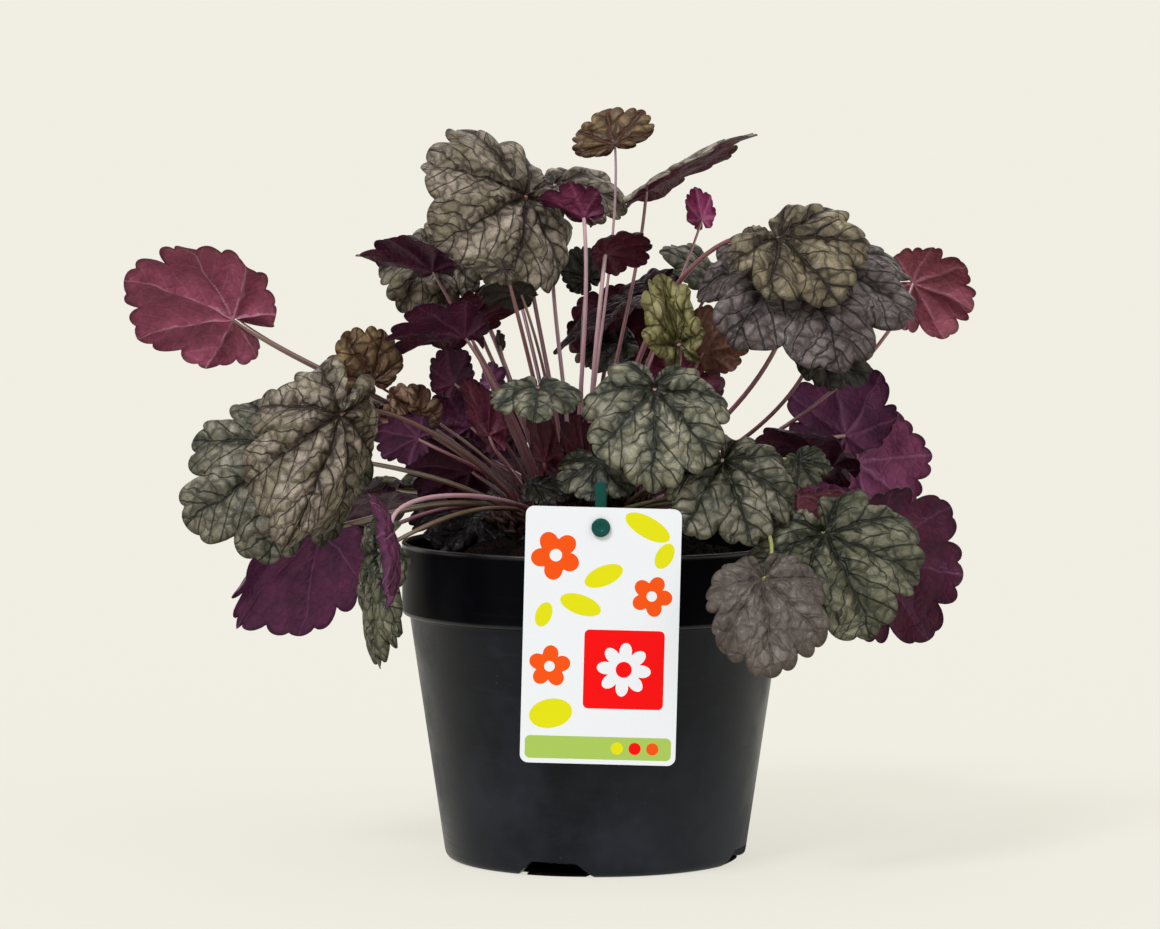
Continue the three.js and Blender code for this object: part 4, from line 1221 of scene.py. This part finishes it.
@dataclass
class NurseryPot:
    """A black moulded nursery pot: deep collar, drafted wall, rounded foot with drain notches and holes."""

    height: float = 140.0
    wall: float = 1.4
    rim_radius: float = 85.2
    collar: float = 32.0
    step_in: float = 3.3
    foot_radius: float = 66.0
    edge_round: float = 4.5
    floor_disc: float = 32.0
    lift: float = 6.0
    foot_ring: float = 57.0
    notch_turn: float = -16.0
    notch_bottom: float = 37.0
    notch_top: float = 21.0
    notch_height: float = 6.6
    notches: int = 4
    holes: int = 8
    hole_radius: float = 4.5
    hole_circle: float = 45.0
    segments: int = 144
    crisp: float = 35.0

    def wall_radius(self, z: float) -> float:
        """The wall's outer radius at a height between the foot's round edge and the collar's step."""
        rise = (z - self.edge_round) / (self.height - self.collar - self.edge_round)
        return self.foot_radius + rise * (self.rim_radius - self.step_in - self.foot_radius)

    def profile(self) -> Array:
        """The pot's section, up the outside and down the inside, with its corners rounded."""
        step, disc, rim, foot = self.height - self.collar, self.floor_disc + 1.5, self.rim_radius, self.foot_radius
        top, lift, wall, ring = self.height, self.lift, self.wall, self.foot_ring
        under, inner, floor = self.wall_radius(step), rim - wall, lift + wall
        return rounded([
            (0, 0, 0), (self.floor_disc, 0, 0.6), (disc, lift, 0.6), (ring, lift, 0.6), (ring + 1, 0, 0.6),
            (foot, 0, self.edge_round), (under, step - 0.3, 1.0), (rim - 0.3, step + 0.5, 0.8), (rim, step + 2.0, 0.8),
            (rim, top - 1.4, 0.5), (rim + 0.25, top - 0.7, 0.5), (rim - 0.2, top, 0.5), (inner, top, 0.5),
            (inner, step + 3, 1.5), (under - wall, step - 1, 1.5), (foot - wall + 0.6, self.edge_round + lift, 3),
            (foot - wall - 1.5, floor, 1.5), (disc - wall, floor, 0.6), (disc - 1.5 - wall, wall, 0.6), (0, wall, 0),
        ])  # fmt: skip

    def build(self) -> None:
        """Builds the pot, with its notches and drain holes cut out."""
        skin = MouldedPolypropylene("moulded polypropylene").material()
        pot = mesh_object("nursery_pot", *turned(self.profile(), self.segments), [skin])
        low, top, high = self.notch_bottom / 2, self.notch_top / 2, self.notch_height
        half = np.array([(low, -1), (top + 1.2, high - 1.6), (top - 0.6, high)])
        wedge = np.roll(np.vstack([half, half[::-1] * (-1, 1)]), 1, axis=0)
        wedge = prism(wedge, -self.foot_radius - 4, 4 - self.foot_ring)
        rod, sides = prism(self.hole_radius * circle(24), -self.lift - 4, 4 - self.lift)
        rod = rod[:, [0, 2, 1]] * (1, 1, -1) + (self.hole_circle, 0, 0), sides
        points, faces = [], []
        for (body, body_faces), number, turn in ((wedge, self.notches, 0.0), (rod, self.holes, 0.5)):
            for i in range(number):
                start = sum(map(len, points))
                points.append(turn_about_z(body, self.notch_turn + 360 / number * (i + turn)))
                faces += [[start + k for k in face] for face in body_faces]
        cutters = mesh_object("cutters", np.vstack(points), faces, [])
        cut = pot.modifiers.new("drain", "BOOLEAN")
        cut.operation, cut.solver, cut.object = "DIFFERENCE", "EXACT", cutters
        pot.data = plain_mesh(pot)
        pot.modifiers.clear()
        bpy.data.objects.remove(cutters)
        smooth(pot, self.crisp)
        settle(pot, "pot_plastic", "pot")


@dataclass
class SoilBed:
    """The potting soil: a rough mound from the wall up to the crown, strewn with crumbs."""

    pot: NurseryPot
    at_wall: float = 125.4
    at_crown: float = 141.0
    crown_edge: float = 40.0
    crumb: float = 1.5
    density: float = 70000.0  # crumbs for each square metre
    # The film under the pot is partly soil that watering washes out, and mostly a dark sheet that paints the pot's
    # shadow.
    film: float = 0.7  # thickness of the washed-out soil at its edges
    film_top: float = 1.0  # height above which crumbs lie on it
    grit: float = 0.6  # size of the crumbs on it
    under: float = 0.05  # height of its underside
    segments: int = 120

    def profile(self) -> Array:
        """The section of the soil, up its side and in over its top."""
        pot, start = self.pot, self.pot.wall + 0.3
        step, floor, disc = pot.height - pot.collar, pot.lift + start, pot.floor_disc - start
        edge, crown, drop = pot.rim_radius - start - 0.4, self.crown_edge, self.at_crown - self.at_wall
        walls = [(pot.wall_radius(z) - start - gap, z) for z, gap in ((floor, 4), (floor + 5, 1.4), (step - 4, 1.3))]
        side = [(0, start), (disc, start), (disc, floor), *walls, (edge - 0.4, step + 6), (edge, self.at_wall - 1.5)]
        slope = [(edge + (crown - edge) * t, self.at_wall + drop * t) for t in np.linspace(0.02, 1, 18)]
        flat = [(crown * (1 - t), self.at_crown) for t in (*np.linspace(0.1, 0.92, 10), 1)]
        return np.array([*side, *slope, *flat])

    def build(self) -> None:
        """Builds the bed with its crumbs, and the dark film of soil under the pot with its grit, which paints the shade
        there.
        """
        # Peat and crumbs are nearly black, darker than moist peat itself: their own dark colour with painted shade for
        # the leaves above them.
        peat = PottingSoil("peat potting soil", "#070403", "#160e0a", 6.0).material()
        bark = PottingSoil("bark crumbs", "#090504", "#23170f", 3.0).material()
        points, faces = turned(self.profile(), self.segments)
        rough = waves(points[:, :2], 5, ((0.12, 0.9), (0.35, 0.6), (0.9, 0.5)))
        points[:, 2] += rough * np.clip((points[:, 2] - self.at_wall) / 2.5, 0, 1)
        bed = mesh_object("potting_soil", points, faces, [peat])
        smooth(bed, 60)
        shape = Strewing("strewn crumbs")
        ball = shape.put("MeshIcoSphere", Radius=1.0, Subdivisions=1)
        turn = shape.any_of((0.0, 0.0, 0.0), (6.28, 6.28, 6.28))
        shape.lay(ball, turn, (0.25, 0.25, 0.2), (1.0, 0.8, 0.5))
        strew = partial(shape.run, Density=self.density, Seed=7, Material=bark)
        crumbs = strew(bed.data.copy(), "soil_crumbs", Size=self.crumb * MM, Lowest=self.at_wall * MM)
        washed = self.washed(peat)
        grit = strew(washed.data.copy(), "drain_crumbs", Size=self.grit * MM, Lowest=self.film_top * MM)
        settle(bed, "soil", "soil")
        settle(crumbs, "soil")
        settle(join(washed, grit), "soil")

    def washed(self, peat: Material) -> Object:
        """Builds a thin dark film under the pot and out into its drain notches: a little soil that watering washes out,
        and mostly painted shade where the pot's shadow falls.
        """
        pot, around = self.pot, np.linspace(0, 360, 180, endpoint=False)
        apart, wide, rings = 360 / pot.notches, 180, 15
        off = np.abs((around - pot.notch_turn + 90 + apart / 2) % apart - apart / 2)
        ragged = waves(np.column_stack([around / 9, 0 * around]), 21, ((0.8, 0.5), (2.3, 0.5)))
        tongue = (pot.foot_radius - pot.foot_ring - 2.6) * np.clip((13.5 - off) / 1.5, 0, 1)
        outer, inner = pot.foot_ring - 0.6 + tongue + 0.5 * ragged, pot.floor_disc + 2.2
        flat = np.vstack([polar(around, inner + (outer - inner) * t) for t in np.linspace(0, 1, rings)])
        high = np.clip(1.2 + 0.35 * waves(flat, 22, ((0.5, 0.5), (1.4, 0.5))), self.film, 1.8)
        high[:wide] = high[-wide:] = self.film
        top = np.column_stack([flat, high])
        under = [np.insert(edge[:, :2], 2, self.under, axis=1) for edge in (top[-wide:], top[:wide])]
        starts = [(r * wide, (r + 1) % (rings + 2) * wide) for r in range(rings + 2)]
        faces = [[a + k, b + k, b + (k + 1) % wide, a + (k + 1) % wide] for a, b in starts for k in range(wide)]
        film = mesh_object("drain_soil", np.vstack([top, *under]), faces, [peat])
        smooth(film, 60)
        return film


# ---- label and stake


def flower(x: float, y: float, wide: float, high: float, turn: float = 0.0, petals: int = 0) -> Array:
    """An oval as an outline, from its middle, half its width and height and its turn in degrees, or a flower."""
    t = np.linspace(0, TURN, 72, endpoint=False)
    size = 1 - 0.4 * (1 - np.abs(np.sin(petals * t / 2)) ** 0.8) if petals else 1.0
    oval = np.column_stack([wide * size * np.cos(t), high * size * np.sin(t), 0 * t])
    return turn_about_z(oval, turn)[:, :2] + (x, y)


def panel(x: float, y: float, wide: float, high: float, corner: float = 2.2) -> Array:
    """A panel with round corners as an outline, from its lower left corner."""
    t = np.radians(np.concatenate([np.linspace(start, start + 90, 7) for start in (-90, 0, 90, 180)]))
    right, top = wide - corner, high - corner
    middle = np.repeat([(right, corner), (right, top), (corner, top), (corner, corner)], 7, axis=0)
    return middle + corner * np.column_stack([np.cos(t), np.sin(t)]) + (x, y)


@dataclass
class PlantLabel:
    """A printed plastic card with rounded corners, hanging by its hole in front of the pot."""

    width: float = 66.0
    height: float = 109.2
    thickness: float = 0.5
    corner: float = 3.5
    hole_drop: float = 8.5
    hole_radius: float = 2.0
    tilt: float = 1.5
    hole: Spot = (2.0, -87.2, 153.0)
    left: float = -31.8

    def print_shapes(self) -> list[tuple[Ink, Array]]:
        """The printed design in card millimetres from the hole: plain flowers, pebbles and panels."""
        shapes = [(Ink.RED, panel(-5.7, -77.0, 34.0, 33.6))]
        shapes.append((Ink.WHITE, flower(11.3, -60.2, 11.5, 11.5, 18, petals=8)))
        shapes.append((Ink.RED, flower(11.3, -60.2, 3.4, 3.4)))
        for x, y, size, turn in ((-18.7, -12.2, 10.6, 10), (22.3, -28.7, 8.8, 30), (-20.2, -59.5, 9.0, 50)):
            shapes.append((Ink.ORANGE, flower(x, y, size, size, turn, petals=5)))
            shapes.append((Ink.WHITE, flower(x, y, size / 4, size / 4)))
        pebbles = (
            (19.8, 0.5, 10.5, 4.4, -28), (27.3, -11.5, 5.8, 3.6, 62), (1.8, -20.5, 8.6, 4.2, 24),
            (-7.7, -33.0, 9.0, 4.2, -18), (-23.2, -37.5, 5.4, 3.4, 70), (-19.2, -79.5, 9.2, 6.2, 12),
        )  # fmt: skip
        shapes += [(Ink.LIME, flower(*pebble)) for pebble in pebbles]
        shapes.append((Ink.MINT, panel(-29.8, -98.7, 62.0, 9.7)))
        dots = ((Ink.ORANGE, 24.3), (Ink.RED, 16.8), (Ink.LIME, 9.3))
        return shapes + [(ink, flower(x, -93.8, 2.6, 2.6)) for ink, x in dots]

    def build(self) -> None:
        """Builds the card, its front divided along the printed shapes."""
        edge = panel(self.left, self.hole_drop - self.height, self.width, self.height, self.corner)
        ring, shapes = flower(0, 0, self.hole_radius, self.hole_radius), self.print_shapes()
        flat, faces = triangulate([edge, ring, *[outline for _, outline in shapes]], [], np.empty((0, 2)))
        middle = flat[faces].mean(axis=1)
        kept = inside(middle, edge) & ~inside(middle, ring)
        faces, middle = faces[kept], middle[kept]
        look = np.zeros(len(faces), np.int32)
        for ink, outline in shapes:
            look[inside(middle, outline)] = list(Ink).index(ink)
        count = len(flat)
        walls = [[a, a + count, b + count, b] for a, b in free_edges(faces)]
        body = np.vstack([np.insert(flat, 1, y, axis=1) for y in (-self.thickness, 0.0)])
        c, s = math.cos(math.radians(self.tilt)), math.sin(math.radians(self.tilt))
        body = body @ np.array([[c, 0, -s], [0, 1, 0], [s, 0, c]]) + np.array(self.hole)
        inks, every = [ink.value.material() for ink in Ink], [*faces, *(faces[:, ::-1] + count), *walls]
        label = mesh_object("plant_label", body, every, inks)
        label.data.polygons.foreach_set("material_index", np.pad(look, (0, len(every) - len(look))))
        settle(label, "label_card", "label")


@dataclass
class LabelStake:
    """The green stake that stands in the soil, with the button that the label hangs on."""

    label: PlantLabel
    width: float = 5.0
    thickness: float = 2.0
    bottom: float = 100.0
    point: float = 9.0
    top: float = 172.0
    back: float = -76.4
    edge_round: float = 0.45
    stud_radius: float = 1.6
    button_radius: float = 4.0
    button_thickness: float = 1.6
    gap: float = 0.3

    def build(self) -> None:
        """Builds the stake with its stud and button."""
        x, card_back, z = self.label.hole
        skin, half = MouldedStyrene("green polystyrene").material(), self.width / 2
        t = np.linspace(0, math.pi, 13)
        head = half * np.column_stack([np.cos(t), np.sin(t)]) + (0, self.top - half)
        shoulder = self.bottom + self.point
        outline = np.vstack([[(0, self.bottom), (half, shoulder)], head, [(-half, shoulder)]]) + (x, 0)
        stake = mesh_object("green_stake", *prism(outline, self.back - self.thickness, self.back), [skin])
        bevel = stake.modifiers.new("edges", "BEVEL")
        bevel.width, bevel.segments = self.edge_round * MM, 3
        bevel.limit_method, bevel.angle_limit = "ANGLE", math.radians(50)
        stake.data = plain_mesh(stake)
        stake.modifiers.clear()
        smooth(stake, 50)
        # The stud and button are turned about an axis that runs forward from the middle of the blade.
        start = self.back - self.thickness / 2
        front = start - (card_back - self.label.thickness - self.gap)
        high, stud, button = front + self.button_thickness, self.stud_radius, self.button_radius
        profile = rounded([
            (0, 0, 0), (stud, 0, 0), (stud, front - 0.05, 0.2), (button, front, 0.5), (button, high - 0.25, 0.6),
            (button - 1.2, high, 0.4), (1.5, high - 0.05, 0.3), (1.1, high - 0.35, 0.3), (0, high - 0.35, 0),
        ])  # fmt: skip
        points, faces = turned(profile, 40)
        knob = mesh_object("button", points[:, [0, 2, 1]] * (1, -1, 1) + (x, start, z), faces, [skin])
        smooth(knob, 35)
        settle(join(stake, knob), "stake_plastic", "label_stake")


# ---- studio


@dataclass(frozen=True)
class Sun:
    """A wide soft light from far away."""

    high: float  # degrees above the horizon
    round: float  # degrees from straight in front, positive to the right
    power: float
    spread: float
    tint: Spot = (0.84, 0.875, 1.0)

    def build(self) -> None:
        """Adds the light to the scene."""
        lamp = bpy.data.lights.new("sun", "SUN")
        lamp.energy, lamp.angle, lamp.color = self.power, math.radians(self.spread), self.tint
        place("sun", lamp).rotation_euler = (math.radians(90 - self.high), 0.0, math.radians(self.round))


@dataclass
class Studio:
    """A plain pale floor that meets an evenly lit background, soft lights and the camera."""

    air: str = "#f1eee3"
    backlight: float = 0.75  # the floor's own share of its light
    floor: float = 60000.0
    suns: tuple[Sun, ...] = (Sun(46, -32, 2.7, 16), Sun(34, 48, 0.7, 50), Sun(40, 180, 0.5, 60))
    eye: Spot = (-6.8, -2137.0, 323.0)
    pitch: float = 4.0  # degrees that the camera looks down
    lens: float = 150.98

    def build(self) -> None:
        """Builds floor, world, lights and camera."""
        scene = bpy.context.scene
        scene.view_settings.view_transform = "Standard"
        scene.world = bpy.data.worlds.new("soft studio")
        scene.world.use_nodes = True
        tree = scene.world.node_tree
        tree.nodes.clear()
        add(tree, "OutputWorld", add(tree, "Background", self.air, 1.0))
        for sun in self.suns:
            sun.build()
        # The floor sends out just as much light as the air behind it, so that no horizon shows.
        air = np.array(linear(self.air)[:3])
        falling = air + sum(
            sun.power * math.sin(math.radians(sun.high)) / math.pi * np.array(sun.tint) for sun in self.suns
        )
        glow = self.backlight * air
        shade, lit = ((*map(float, light), 1.0) for light in ((air - glow) / falling, glow))
        points = self.floor * np.insert(circle(64), 2, 0, axis=1)
        sheet = StudioSheet("background paper", shade, lit).material()
        mesh_object("studio_floor", points, [range(64)], [sheet])
        lens = bpy.data.cameras.new("camera")
        lens.sensor_width, lens.lens, lens.clip_end = 36.0, self.lens, 200.0
        scene.camera = place("camera", lens)
        scene.camera.location = [part * MM for part in self.eye]
        scene.camera.rotation_euler = (math.radians(90 - self.pitch), 0.0, 0.0)


def main() -> None:
    """Builds the studio, then the pot, the label and the plant in order."""
    logging.basicConfig(level=logging.INFO, format="%(message)s")
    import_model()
    pot, crown, label = NurseryPot(), Crown(), PlantLabel()
    for piece in (Studio(), pot, SoilBed(pot), crown, label, LabelStake(label), Foliage(crown)):
        piece.build()


if __name__ == "__main__":
    main()
